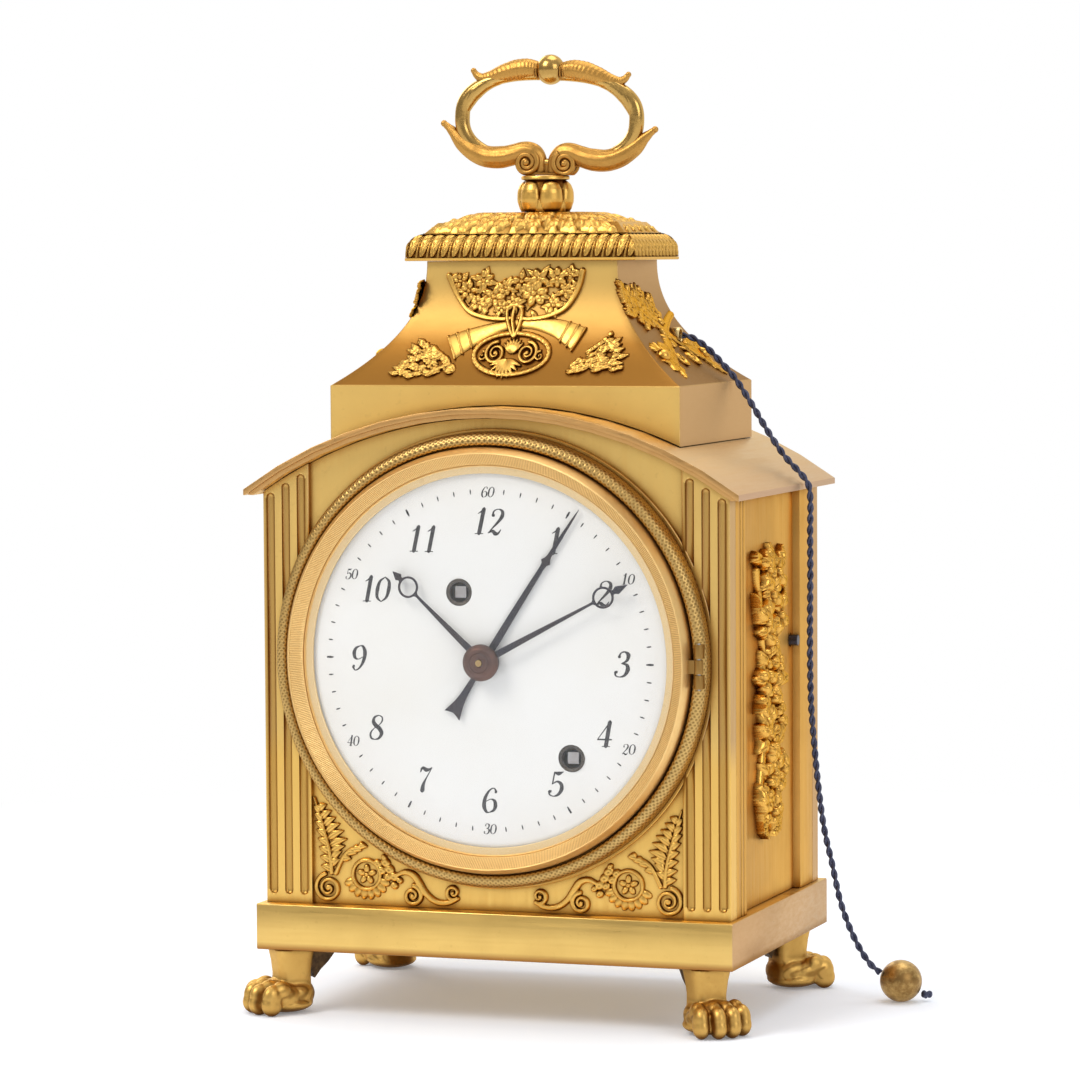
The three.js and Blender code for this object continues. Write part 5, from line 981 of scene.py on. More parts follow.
def lump(work, centre, radii, turn=0.0, tilt=0.0):
    place = (
        Matrix.Translation(Vector(centre)) @ Matrix.Rotation(turn, 4, "Z") @ Matrix.Rotation(tilt, 4, "Y")
        @ Matrix.Diagonal((*radii, 1))
    )
    bmesh.ops.create_icosphere(work, subdivisions=3, radius=1, matrix=place)


# Each toe's place across, as a share of the spacing, and how far it reaches forwards
TOES, TOE_SPACING = ((-1.5, 7.0), (-0.5, 8.7), (0.5, 8.7), (1.5, 7.0)), 3.4
LEG_SIDES = 40
# The leg's half sizes and heights, with a waist and a flare under the plinth
LEG = (
    (4.4, 4.1, 4), (4.1, 3.9, 6.2), (4.0, 3.9, 9), (4.3, 4.3, 12), (4.75, 4.75, 14.2), (4.85, 4.85, 15.0),
)
# The bracket behind a leg, as (place along the foot's way, height)
BRACKET = [(-4.2, 14.98), (-10.8, 14.98), (-10.4, 13.4), (-8.6, 11.2), (-6.6, 9.4), (-5.2, 7.6), (-4.4, 9.5)]


def paw_mesh():
    """A lion's paw that points along +x, in millimetres, with its leg's middle on the z axis."""
    work = bmesh.new()
    previous = None
    for hx, hy, z in LEG:
        ring = []
        for a in angles(LEG_SIDES):
            x, y = (abs(v) ** 0.55 * math.copysign(1, v) for v in (math.cos(a), math.sin(a)))
            ring.append(work.verts.new((hx * x, hy * y, z)))
        if previous:
            for k in range(LEG_SIDES):
                after = (k + 1) % LEG_SIDES
                work.faces.new((previous[k], previous[after], ring[after], ring[k]))
        else:
            work.faces.new(ring[::-1])
        previous = ring
    work.faces.new(previous)
    lump(work, (0.3, 0, 4.2), (5.7, 5.4, 4.1))
    lump(work, (3.2, 0, 4.1), (5.6, 6.3, 4.0))
    lump(work, (1.5, 0, 2.2), (6.4, 6.2, 2.2))
    for side, reach in TOES:
        y = side * TOE_SPACING
        out = side * 0.12
        lump(work, (reach + 0.1, y, 2.7), (2.65, 1.95, 2.75), out)
        lump(work, (reach - 0.2, y, 4.3), (2.65, 1.9, 3.0), out)
        lump(work, (reach - 2.4, y * 0.94, 5.5), (2.6, 1.75, 2.5), out, 0.35)
    mesh = bpy.data.meshes.new("paw")
    work.to_mesh(mesh)
    work.free()
    helper = link(bpy.data.objects.new("paw_helper", mesh))
    remesh = helper.modifiers.new("remesh", "REMESH")
    remesh.mode, remesh.voxel_size = "VOXEL", 0.24
    smooth = helper.modifiers.new("smooth", "SMOOTH")
    smooth.factor, smooth.iterations = 0.5, 8
    done = evaluated(helper)
    points, faces = points_of(done), [list(p.vertices) for p in done.polygons]
    bpy.data.objects.remove(helper)
    for spare in (mesh, done):
        bpy.data.meshes.remove(spare)
    points[:, 2] = np.clip(points[:, 2], 0, None)
    return points, faces


def paw_shade(x, y, z):
    """How dark each point is: painted shade in the clefts, in the hair cut above the toes and under the sole, and
    darker at the back of the leg.
    """
    back = np.clip((-x - 3.0) / 1.2, 0, 1)
    cleft = np.clip((np.abs((y / TOE_SPACING) % 1 - 0.5) - 0.34) / 0.14, 0, 1) * (np.abs(y) < 5.2)
    cleft = 0.95 * cleft * np.clip((x - 3.0) / 2, 0, 1) * (z < 7.8)
    hair = 0.6 * np.clip(np.sin(y * 5.5 + 2.5 * np.sin(z * 1.3)), 0, 1)
    hair = hair * (x < 6.5) * np.clip((8.6 - z) / 2, 0, 1) * (z > 2.5)
    return np.maximum.reduce([back, cleft, hair, np.clip(0.9 - z, 0, 1)])


def make_feet():
    points, faces = paw_mesh()
    dark = paw_shade(*points.T)
    sides = len(BRACKET)
    bracket = [(x, y, z) for y in (-1.6, 1.6) for x, z in BRACKET]
    bracket_faces = [list(range(sides)), list(range(sides, 2 * sides))[::-1]]
    bracket_faces += [[k, (k + 1) % sides, sides + (k + 1) % sides, sides + k] for k in range(sides)]
    for name, sx, sy in (
        ("foot_front_left", -1, -1), ("foot_front_right", 1, -1), ("foot_rear_left", -1, 1), ("foot_rear_right", 1, 1),
    ):
        turn = math.atan2(sy, sx)
        place = (sx * FOOT_PLACE[0] - (FOOT_LEFT_SHIFT if sx < 0 else 0), sy * FOOT_PLACE[1])
        for part, form, shade, material, suffix, angle in (
            (points, faces, dark, GILT_PAW, "_paw", 60), (bracket, bracket_faces, None, DARK_BRONZE, "_bracket", 40),
        ):
            x, y, z = np.array(part, float).T
            across = x * math.cos(turn) - y * math.sin(turn) + place[0]
            away = x * math.sin(turn) + y * math.cos(turn) + place[1]
            shape = Shape()
            shape.add(np.stack([across, away, z], -1), form, shade)
            shape.make(name + suffix, material, replaces=name, angle=angle)


make_feet()


# ---- Rope ring, bezel and glass ----

def make_rope_ring():
    inner, outer = ROPE_RADII
    profile = np.array([
        (0, 0), (0, 0.55), (0.02, 0.8), (0.1, 0.93), (0.25, 1), (0.45, 1), (0.65, 0.95), (0.82, 0.84), (0.94, 0.68),
        (1, 0.5), (1, 0),
    ]) * ((outer - inner), ROPE_PROUD)
    length = np.concatenate([[0], np.cumsum(np.hypot(*np.diff(profile, axis=0).T))])
    along = np.linspace(0, length[-1], 46)
    across, up = (np.interp(along, length, column)[None, :] for column in profile.T)
    steps, diamonds = 2160, 240
    a = angles(steps)[:, None]
    slant = along[None, :] * math.pi / 1.15
    weave = np.maximum(np.abs(np.sin(diamonds / 2 * a + slant)), np.abs(np.sin(diamonds / 2 * a - slant))) ** 2
    cut = 0.2 * (1 - weave) * (up > 0.25)
    r = inner + across + 0 * a + np.where(across > 0.97 * (outer - inner), -cut, 0)
    x, z = polar((0, DIAL_Z), r, a)
    shape = Shape()
    # painted shade in the knurl's cuts and low on the ring, where it meets the wall
    dark = np.clip(cut * 4.2 + np.clip(1.4 - up, 0, 1) * 0.8, 0, 1)
    shape.grid(np.stack([x, FRONT_FACE - up + cut, z], -1), around=True, hollow=dark)
    shape.make("rope_ring_knurled", GILT_ROPE, replaces="rope_ring", angle=70)


make_rope_ring()

# The bezel's section as (radius, y, state): a state up to 1 is a depth of painted shade, and 2 is milled.
BEZEL_SECTION = (
    (45.6, -36.15, 0), (48.2, -36.15, 0.5), (48.2, -40.9, 0), (47.95, -41.7, 0), (47.5, -42.5, 0), (47.25, -42.95, 0),
    (47.1, -43.25, 0), (46.95, -43.42, 0), (46.8, -43.36, 0), (46.7, -43.1, 2), (45.9, -42.35, 2), (45.1, -41.6, 2),
    (44.5, -41.05, 2), (44.35, -40.9, 0.3), (44.3, -40.85, 0.3), (44.3, -39.2, 0.5), (45.6, -39.2, 1),
    (45.6, -36.15, 1),
)
SIGHT_SECTION = (
    (44.3, -39.25), (44.3, -40.6), (44.1, -40.75), (43.96, -40.1), (42.75, -40.0), (42.4, -40.0), (42.3, -39.9),
    (42.3, -39.25), (44.3, -39.25),
)


def knuckle(shape, z):
    """One knuckle of the bezel's hinge, round its pin."""
    low, high = z - KNUCKLE_LENGTH / 2, z + KNUCKLE_LENGTH / 2
    shape.turned([
        (KNUCKLE_RADIUS - 0.2, low), (KNUCKLE_RADIUS - 0.05, low), (KNUCKLE_RADIUS, low + 0.2),
        (KNUCKLE_RADIUS, high - 0.2), (KNUCKLE_RADIUS - 0.05, high), (KNUCKLE_RADIUS - 0.2, high),
    ], 32, BEZEL_HINGE, axis="z")
    return low + 0.05, high - 0.05


def make_bezel():
    sight = Shape()
    sight.turned(SIGHT_SECTION, 360, (0, DIAL_Z))
    sight.make("bezel_sight_ring", GILT_SIGHT, replaces="bezel", body="bezel_leaf", angle=25)
    steps = 2160
    a = angles(steps)[:, None]
    r, y, state = (np.array(v, float)[None, :] for v in zip(*BEZEL_SECTION))
    cutting = state > 1.5
    # every third row of points lies in a groove
    wave = (np.arange(steps) % 3 == 0)[:, None]
    x, z = polar((0, DIAL_Z), r, a)
    shape = Shape()
    # painted shade in the grooves of the milling, and as deep as the state elsewhere
    dark = np.where(cutting, 0.55 * wave + 0 * r, np.clip(state, 0, 1) + 0 * a)
    shape.grid(np.stack([x, y + 0.1 * wave * cutting, z], -1), around=True, hollow=dark)
    shape.make("bezel_milled", GILT_MATT, replaces="bezel", body="bezel_leaf", angle=25)
    glass = Shape()
    glass.turned([
        (max(r, 0.001), GLASS_SEAT - GLASS_RISE * (1 - (r / GLASS_RADIUS) ** GLASS_FULLNESS))
        for r in np.linspace(0, GLASS_RADIUS, 40)
    ], 96, (0, DIAL_Z))
    glass.make("glass_dome", CLEAR, replaces="glass", body="bezel_leaf", slot="glass")
    x, y = BEZEL_HINGE
    hinge = Shape()
    low, high = knuckle(hinge, DIAL_Z)
    hinge.box((47.6, y - 0.65, low), (x - 0.8, y + 0.65, high))
    hinge.make("bezel_knuckle", GILT_SHADED, replaces="bezel", body="bezel_leaf")
    fixed = Shape()
    for side in (-1, 1):
        low, high = knuckle(fixed, DIAL_Z + side * (KNUCKLE_LENGTH + KNUCKLE_GAP))
        fixed.box((x - 0.9, y + 0.5, low), (x + 0.9, FRONT_FACE - 1.2, high))
    fixed.make("bezel_hinge_fixed", GILT_SHADED, replaces="rope_ring")


make_bezel()


# ---- Dial ----

def dial_y(r):
    return DIAL_MIDDLE + DIAL_RISE * (np.asarray(r, float) / DIAL_RADIUS) ** 2


def make_dial():
    front = [(r, float(dial_y(r))) for r in np.linspace(DIAL_BORE, DIAL_RADIUS - 0.2, 40)]
    front += [(DIAL_RADIUS, float(dial_y(DIAL_RADIUS)) + 0.2), (DIAL_RADIUS, DIAL_FRONT + DIAL_THICKNESS)]
    back = [(r, float(dial_y(r)) + DIAL_THICKNESS) for r in np.linspace(DIAL_RADIUS - 1, DIAL_BORE, 24)]
    shape = Shape()
    shape.turned(front + back + front[:1], 160, (0, DIAL_Z))
    piece = shape.make("dial_enamel", ENAMEL, replaces="dial", slot="enamel")
    # the two winding holes go right through
    for k, (x, z) in enumerate(WINDING_HOLES):
        drill = Shape()
        drill.turned([(0.0005, -50), (HOLE_RADIUS, -50), (HOLE_RADIUS, -30), (0.0005, -30)], 72, (x, DIAL_Z + z))
        cutter = drill.make(f"drill_{k}", COLLET)
        face_out(cutter.data, weld=0.003)
        face_out(piece.data, weld=0.003)
        cut = piece.modifiers.new("hole", "BOOLEAN")
        cut.operation, cut.solver, cut.object = "DIFFERENCE", "EXACT", cutter
        done, old = evaluated(piece), piece.data
        piece.modifiers.clear()
        piece.data = done
        bpy.data.meshes.remove(old)
        bpy.data.objects.remove(cutter)
    piece.data.shade_smooth()
    piece.data.set_sharp_from_angle(angle=math.radians(40))
    # dark collets round the holes
    for k, (x, z) in enumerate(WINDING_HOLES):
        face = float(dial_y(math.hypot(x, z)))
        ring = Shape()
        ring.turned([
            (HOLE_RADIUS - 0.02, face + 1.0), (HOLE_RADIUS - 0.02, face + 0.05), (HOLE_RADIUS - 0.25, face - 0.12),
            (HOLE_RADIUS - 0.8, face + 0.1), (HOLE_RADIUS - 0.8, face + 1.0),
        ], 64, (x, DIAL_Z + z))
        ring.make(f"winding_collet_{k}", COLLET, replaces="dial")


make_dial()


# ---- Numerals: pen strokes of changing width, drawn on the dome of the dial ----

THIN, FAT = 0.018, 0.085


def dot(x, z, half=0.06):
    return [(x, z), (x + 0.01, z + 0.01)], [half, half], 6


# Each figure's strokes in an upright box one high: points, half widths along them and number of steps
FIGURES = {
    "0": [
        ([(0.30, 1.0), (0.10, 0.82), (0.05, 0.5), (0.10, 0.18), (0.30, 0.0)], [THIN, 0.06, FAT, 0.06, THIN], 26),
        ([(0.30, 1.0), (0.50, 0.82), (0.55, 0.5), (0.50, 0.18), (0.30, 0.0)], [THIN, 0.06, FAT, 0.06, THIN], 26),
    ],
    "1": [
        ([(0.33, 1.0), (0.33, 0.02)], [FAT, FAT], 26),
        ([(0.12, 0.82), (0.22, 0.88), (0.33, 0.99)], [THIN, 0.03, 0.04], 26),
        ([(0.16, 0.01), (0.50, 0.01)], [THIN, THIN], 26),
    ],
    "2": [
        ([(0.10, 0.74), (0.12, 0.92), (0.30, 1.0), (0.48, 0.90), (0.50, 0.70), (0.38, 0.48), (0.18, 0.22),
          (0.06, 0.04)], [0.05, 0.03, THIN, 0.06, FAT, 0.06, 0.03, THIN], 40),
        ([(0.06, 0.06), (0.22, 0.12), (0.36, 0.02), (0.48, 0.03), (0.56, 0.18)], [0.03, 0.06, 0.08, 0.05, THIN], 26),
        dot(0.13, 0.74, 0.065),
    ],
    "3": [
        ([(0.10, 0.80), (0.16, 0.96), (0.32, 1.0), (0.47, 0.88), (0.45, 0.66), (0.26, 0.54)],
         [0.05, 0.03, 0.03, FAT, 0.06, THIN], 36),
        ([(0.26, 0.54), (0.48, 0.48), (0.55, 0.28), (0.46, 0.07), (0.26, 0.0), (0.10, 0.06), (0.06, 0.20)],
         [THIN, 0.06, FAT + 0.01, 0.06, THIN, 0.03, 0.05], 40),
        dot(0.12, 0.80), dot(0.10, 0.19, 0.065),
    ],
    "4": [
        ([(0.42, 1.0), (0.42, 0.02)], [FAT, FAT], 26), ([(0.42, 0.98), (0.04, 0.30)], [0.03, THIN], 26),
        ([(0.04, 0.29), (0.60, 0.29)], [0.03, 0.03], 26), ([(0.27, 0.01), (0.58, 0.01)], [THIN, THIN], 26),
    ],
    "5": [
        ([(0.16, 0.98), (0.14, 0.50)], [0.03, 0.03], 26),
        ([(0.16, 0.97), (0.34, 0.93), (0.52, 1.0)], [0.03, FAT, THIN], 26),
        ([(0.14, 0.50), (0.32, 0.60), (0.50, 0.50), (0.55, 0.28), (0.44, 0.07), (0.26, 0.0), (0.09, 0.06),
          (0.05, 0.20)], [THIN, 0.04, 0.07, FAT, 0.06, THIN, 0.03, 0.05], 44),
        dot(0.09, 0.19, 0.065),
    ],
    "6": [
        ([(0.50, 0.86), (0.38, 1.0), (0.20, 0.90), (0.07, 0.60), (0.07, 0.26), (0.20, 0.03), (0.32, 0.0)],
         [0.05, 0.02, 0.04, 0.075, FAT, 0.05, THIN], 44),
        ([(0.32, 0.0), (0.50, 0.10), (0.55, 0.28), (0.48, 0.48), (0.32, 0.55), (0.14, 0.46)],
         [THIN, 0.06, FAT, 0.06, THIN, THIN], 36),
        dot(0.48, 0.84),
    ],
    "7": [
        ([(0.07, 0.80), (0.14, 0.98), (0.30, 0.90), (0.44, 0.92), (0.54, 1.0)], [THIN, 0.05, FAT, 0.05, THIN], 26),
        ([(0.54, 0.99), (0.36, 0.56), (0.27, 0.30), (0.26, 0.04)], [THIN, 0.03, 0.07, 0.10], 26),
        ([(0.07, 0.97), (0.07, 0.80)], [THIN, THIN], 8),
    ],
    "8": [
        ([(0.32, 1.0), (0.14, 0.92), (0.11, 0.74), (0.24, 0.58), (0.42, 0.46), (0.55, 0.26), (0.46, 0.06), (0.29, 0.0)],
         [THIN, 0.05, 0.075, FAT, FAT, 0.085, 0.05, THIN], 48),
        ([(0.32, 1.0), (0.47, 0.92), (0.49, 0.76), (0.38, 0.60), (0.18, 0.45), (0.06, 0.25), (0.12, 0.06), (0.29, 0.0)],
         [THIN, 0.03, 0.035, THIN, THIN, 0.045, 0.04, THIN], 48),
    ],
    "9": [
        ([(0.10, 0.14), (0.22, 0.0), (0.40, 0.10), (0.53, 0.40), (0.53, 0.74), (0.40, 0.97), (0.28, 1.0)],
         [0.05, 0.02, 0.04, 0.075, FAT, 0.05, THIN], 44),
        ([(0.28, 1.0), (0.10, 0.90), (0.05, 0.72), (0.12, 0.52), (0.28, 0.45), (0.46, 0.54)],
         [THIN, 0.06, FAT, 0.06, THIN, THIN], 36),
        dot(0.12, 0.16),
    ],
}
FIGURE_PITCH, FIGURE_WIDTH, FIGURE_LEAN = 0.66, 0.6, 0.19
INK_PROUD = 0.03


def dial_point(x, z):
    return np.stack([x, dial_y(np.hypot(x, z)) - INK_PROUD, DIAL_Z + z], -1)


def write_number(shape, text, x, z, height):
    width = FIGURE_PITCH * (len(text) - 1) + FIGURE_WIDTH
    for k, character in enumerate(text):
        start = FIGURE_PITCH * k - width / 2
        for points, widths, count in FIGURES[character]:
            line = curve_through(points, count) if len(points) > 2 else np.linspace(points[0], points[1], count)
            half = spread(widths, len(line))[:, None]
            along = unit(np.gradient(line, axis=0))
            out = np.stack([-along[:, 1], along[:, 0]], -1)
            # round ends, so that each stroke starts and stops softly
            first, last = line[0] - along[0] * half[0] * 0.8, line[-1] + along[-1] * half[-1] * 0.8
            line = np.vstack([[first], line, [last]])
            out = np.vstack([out[:1], out, out[-1:]])
            half = np.vstack([[half[0] * 0.35], half, [half[-1] * 0.35]])
            edge = np.stack([line - out * half, line, line + out * half], 1)
            px = x + height * (start + edge[..., 0] + FIGURE_LEAN * edge[..., 1])
            pz = z + height * (edge[..., 1] - 0.5)
            shape.grid(dial_point(px, pz))


def make_figures():
    shape = Shape()
    for numbers, degrees, radius, height in ((range(1, 13), 30, 31.5, 5.6), (range(10, 61, 10), 6, 38.1, 2.35)):
        for number in numbers:
            write_number(shape, str(number), *polar((0, 0), radius, math.radians(90 - degrees * number)), height)
    for minute in range(60):
        if minute % 10 == 0:
            continue
        a = math.radians(90 - 6 * minute)
        half, inner, outer = (0.16, 37.7, 38.8) if minute % 5 else (0.26, 37.4, 39.1)
        c, s = math.cos(a), math.sin(a)
        r = np.array([inner, (inner + outer) / 2, outer])[:, None]
        w = np.array([-half, 0, half])[None, :] * np.array([0.5, 1.0, 0.75])[:, None]
        shape.grid(dial_point(r * c - w * s, r * s + w * c))
    shape.make("dial_figures", INK, replaces="dial")


make_figures()


# ---- Hands ----

HAND_SAG, HAND_SPAN, HAND_THICK, HAND_BOSS = 2.06, 38.4, 0.45, 3.6
HOUR_BACK, MINUTE_BACK, ALARM_BACK = -42.70, -43.50, -41.90


def make_hand(hand, body, loops, back, angle, bore):
    """A flat hand from outlines with z up its length, bent back with the dome and turned clockwise by angle."""
    name, front = hand + "_blued", back - HAND_THICK
    piece = flat_shape(name, loops, front, back, BLUED, edge=0.1, body=body)
    finer(piece.data)
    points = points_of(piece.data) / MM - (0, CASE_Y, 0)
    reach = points[:, 0] ** 2 + points[:, 2] ** 2
    y = points[:, 1] + HAND_SAG * reach / HAND_SPAN ** 2
    a = math.radians(angle)
    x = points[:, 0] * math.cos(a) + points[:, 2] * math.sin(a)
    z = points[:, 2] * math.cos(a) - points[:, 0] * math.sin(a)
    moved = np.stack([x, y + CASE_Y, z + DIAL_Z], -1) * MM
    piece.data.vertices.foreach_set("co", moved.astype(np.float32).ravel())
    piece.data.update()
    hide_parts(hand)
    disc = Shape()
    disc.turned([
        (bore, back), (HAND_BOSS, back), (HAND_BOSS, front + 0.1), (HAND_BOSS - 0.1, front), (bore, front),
        (bore, back),
    ], 48, (0, DIAL_Z))
    disc.make(name + "_boss", BLUED, replaces=hand, body=body)


def finer(mesh):
    """Cuts long edges so that the blade can bend."""
    work = bmesh.new()
    work.from_mesh(mesh)
    bmesh.ops.triangulate(work, faces=work.faces)
    for _ in range(3):
        long = [e for e in work.edges if e.calc_length() > 3 * MM]
        if not long:
            break
        bmesh.ops.subdivide_edges(work, edges=long, cuts=1)
        bmesh.ops.triangulate(work, faces=work.faces)
    work.to_mesh(mesh)
    work.free()


def mirror_outline(right):
    return right + [(-x, z) for x, z in right[::-1]]


def ringed_loops(length, share):
    """The outline of a hand with a ring at a share of its length, and the ring's eye."""
    ring, eye, at = 2.45, 0.8, length * share
    low, high = at - ring, at + ring
    span = length - high
    right = [(0.8, 0.5), (0.78, 4), (0.56, 0.5 * at), (0.30, low - 1.2), (0.32, low - 0.3), (0.66, low + 0.08)]
    right += [polar((0, at), ring, a) for a in np.radians(np.linspace(-68, 68, 28))]
    right += [
        (0.62, high - 0.05), (0.50, high + 0.10 * span), (0.95, high + 0.30 * span), (0.60, high + 0.58 * span),
        (0.22, high + 0.85 * span), (0.05, length - 0.05),
    ]
    return [mirror_outline(right), circle(ring * eye, 48, (0, at))]


ALARM_RIGHT = [
    (0.06, -13.9), (1.1, -14.2), (2.1, -14.6), (1.75, -13.4), (1.2, -11.5), (0.85, -9.3), (0.62, -5), (0.7, 0),
    (0.84, 4), (0.8, 9), (0.68, 18), (0.55, 25.2), (0.66, 26.3), (1.2, 26.9), (0.75, 27.6), (0.5, 28.4), (0.42, 33),
    (0.22, 38.5), (0.05, 40.75),
]
make_hand("hour_hand", "hour_work", ringed_loops(29.7, 0.825), HOUR_BACK, 312.4, bore=1.6)
make_hand("minute_hand", "minute_work", ringed_loops(38.4, 0.835), MINUTE_BACK, 62, bore=0.95)
make_hand("alarm_hand", "alarm_work", [mirror_outline(ALARM_RIGHT)], ALARM_BACK, 32.5, bore=2.2)


def make_collet():
    shape = Shape()
    back, front = -44.0, -45.9
    shape.turned([
        (0.9, back), (4.15, back), (4.15, back - 0.7), (4.0, back - 0.95), (3.3, front + 0.1), (3.1, front),
        (2.3, front), (2.1, front + 0.25), (0.9, front + 0.25), (0.9, back),
    ], 72, (0, DIAL_Z))
    shape.make("hub_collet_turned", RUSSET, replaces="hub_collet", body="minute_work")


make_collet()


# ---- Applied mounts ----

def spandrel(side):
    """side is 1 on the right. The field is drawn for the right corner, with u across and v up."""
    field = Carving(0, SIDE_FACE - PILASTER - 0.5, PLINTH_TOP + 0.4, PLINTH_TOP + 27, 0.12)
    # the leafy branch that climbs beside the pilaster, out of the corner volute
    spine = curve_through([
        (40.18, 32.93), (40.29, 35.61), (40.76, 38.38), (41.47, 41.14), (42.29, 44.18), (43.24, 47.21), (44.18, 50.08),
    ], 60)
    field.stroke(spine, np.linspace(0.62, 0.3, len(spine)), 0.75)
    # its leaves as (base, tip): those outside the branch, those inside it, and those by the rosette's ring
    leaves = (
        ((40.18, 33.38), (42.88, 34.49)), ((40.35, 35.33), (43.12, 36.6)), ((40.65, 37.27), (43.35, 38.72)),
        ((41, 39.21), (43.59, 40.77)), ((41.47, 41.14), (43.94, 42.83)), ((41.94, 42.91), (44.29, 44.71)),
        ((42.41, 44.74), (44.53, 46.49)), ((43, 46.67), (44.65, 48.27)),
        ((40.06, 34.5), (38.06, 36.15)), ((40.06, 36.06), (37.59, 37.96)), ((40.29, 37.56), (36.76, 39.22)),
        ((40.65, 39.06), (36.18, 40.81)), ((41, 40.61), (37, 42.68)), ((41.47, 42.15), (37.94, 44.31)),
        ((41.94, 43.64), (39, 45.72)), ((42.53, 45.29), (40.06, 47.24)), ((43.12, 47.11), (41.24, 48.64)),
        ((37.59, 36), (35.24, 36.27)), ((36.53, 37.44), (33.82, 37.56)), ((35.24, 38.39), (32.65, 38.17)),
        ((33.71, 38.91), (31.24, 39.24)),
    )
    for base, tip in leaves:
        field.leaf(base, tip, 0.98, 0.95, bend=0.4 if tip[0] > base[0] else -0.4, rib=0.3)
    row = curve_through([(39.12, 32.86), (38.06, 35.14), (36.76, 37.32), (35.12, 38.51), (33, 39.16)], 40)
    field.stroke(row, np.linspace(0.6, 0.4, len(row)), 0.8)
    field.spiral((40.94, 29.43), 3.25, 1.9, 75, -1, 0.62, 0.95)
    # the rosette in its ring, with a scalloped leaf below
    rosette = (31.53, 32.8)
    field.stroke([polar(rosette, 3.35, a) for a in np.linspace(0, 2 * math.pi, 50)], 0.5, 0.85)
    field.flower(*rosette, 2.1, 0.85, 5, math.pi / 2)
    for turn in range(202, 336, 19):
        field.dome(*polar(rosette, (4.6, 4.4), math.radians(turn)), 1.5, 0.95, 0.62, turn)
    # the bunch of leaves between the rosette and the scroll
    for u, v, size in (
        (28.76, 35.43, 1.15), (26.88, 35.73, 1.3), (27.82, 33.91, 1.25), (25.94, 34.21, 1.35), (24.76, 32.58, 1.3),
        (26.29, 32.41, 1.1), (24.76, 30.57, 1.05), (23.47, 31.75, 0.9), (27.24, 36.95, 0.8),
    ):
        field.dome(u, v, size, 0.85 * size, 0.98, 30, hole=0.25)
    # the scroll: a volute, and an S that ends in a curl
    field.spiral((20.35, 28.36), 2.35, 1.6, 100, 1, 0.7, 0.95)
    sweep = curve_through([
        (24.06, 32.95), (22.06, 33.71), (20.06, 33.12), (18.59, 31.23), (17.12, 29.06), (15.12, 27.47), (13, 26.94),
        (11.12, 27.25), (9.47, 28.1),
    ], 60)
    thick = np.interp(np.linspace(0, 1, len(sweep)), [0, 0.3, 0.7, 1], [0.5, 0.95, 0.75, 0.6])
    field.stroke(sweep, thick, 0.95, groove=0.12)
    field.spiral((10.41, 29.51), 1.75, 1.3, -100, 1, 0.62, 0.95)
    field.soften(0.98)
    hand = "right" if side > 0 else "left"
    field.mount(
        f"spandrel_{hand}_carved", f"spandrel_mount_{hand}", GILT_CARVED,
        lambda u, v, h: (side * u, PANEL_FACE - SEAT_GAP - h, v),
    )


spandrel(1)
spandrel(-1)


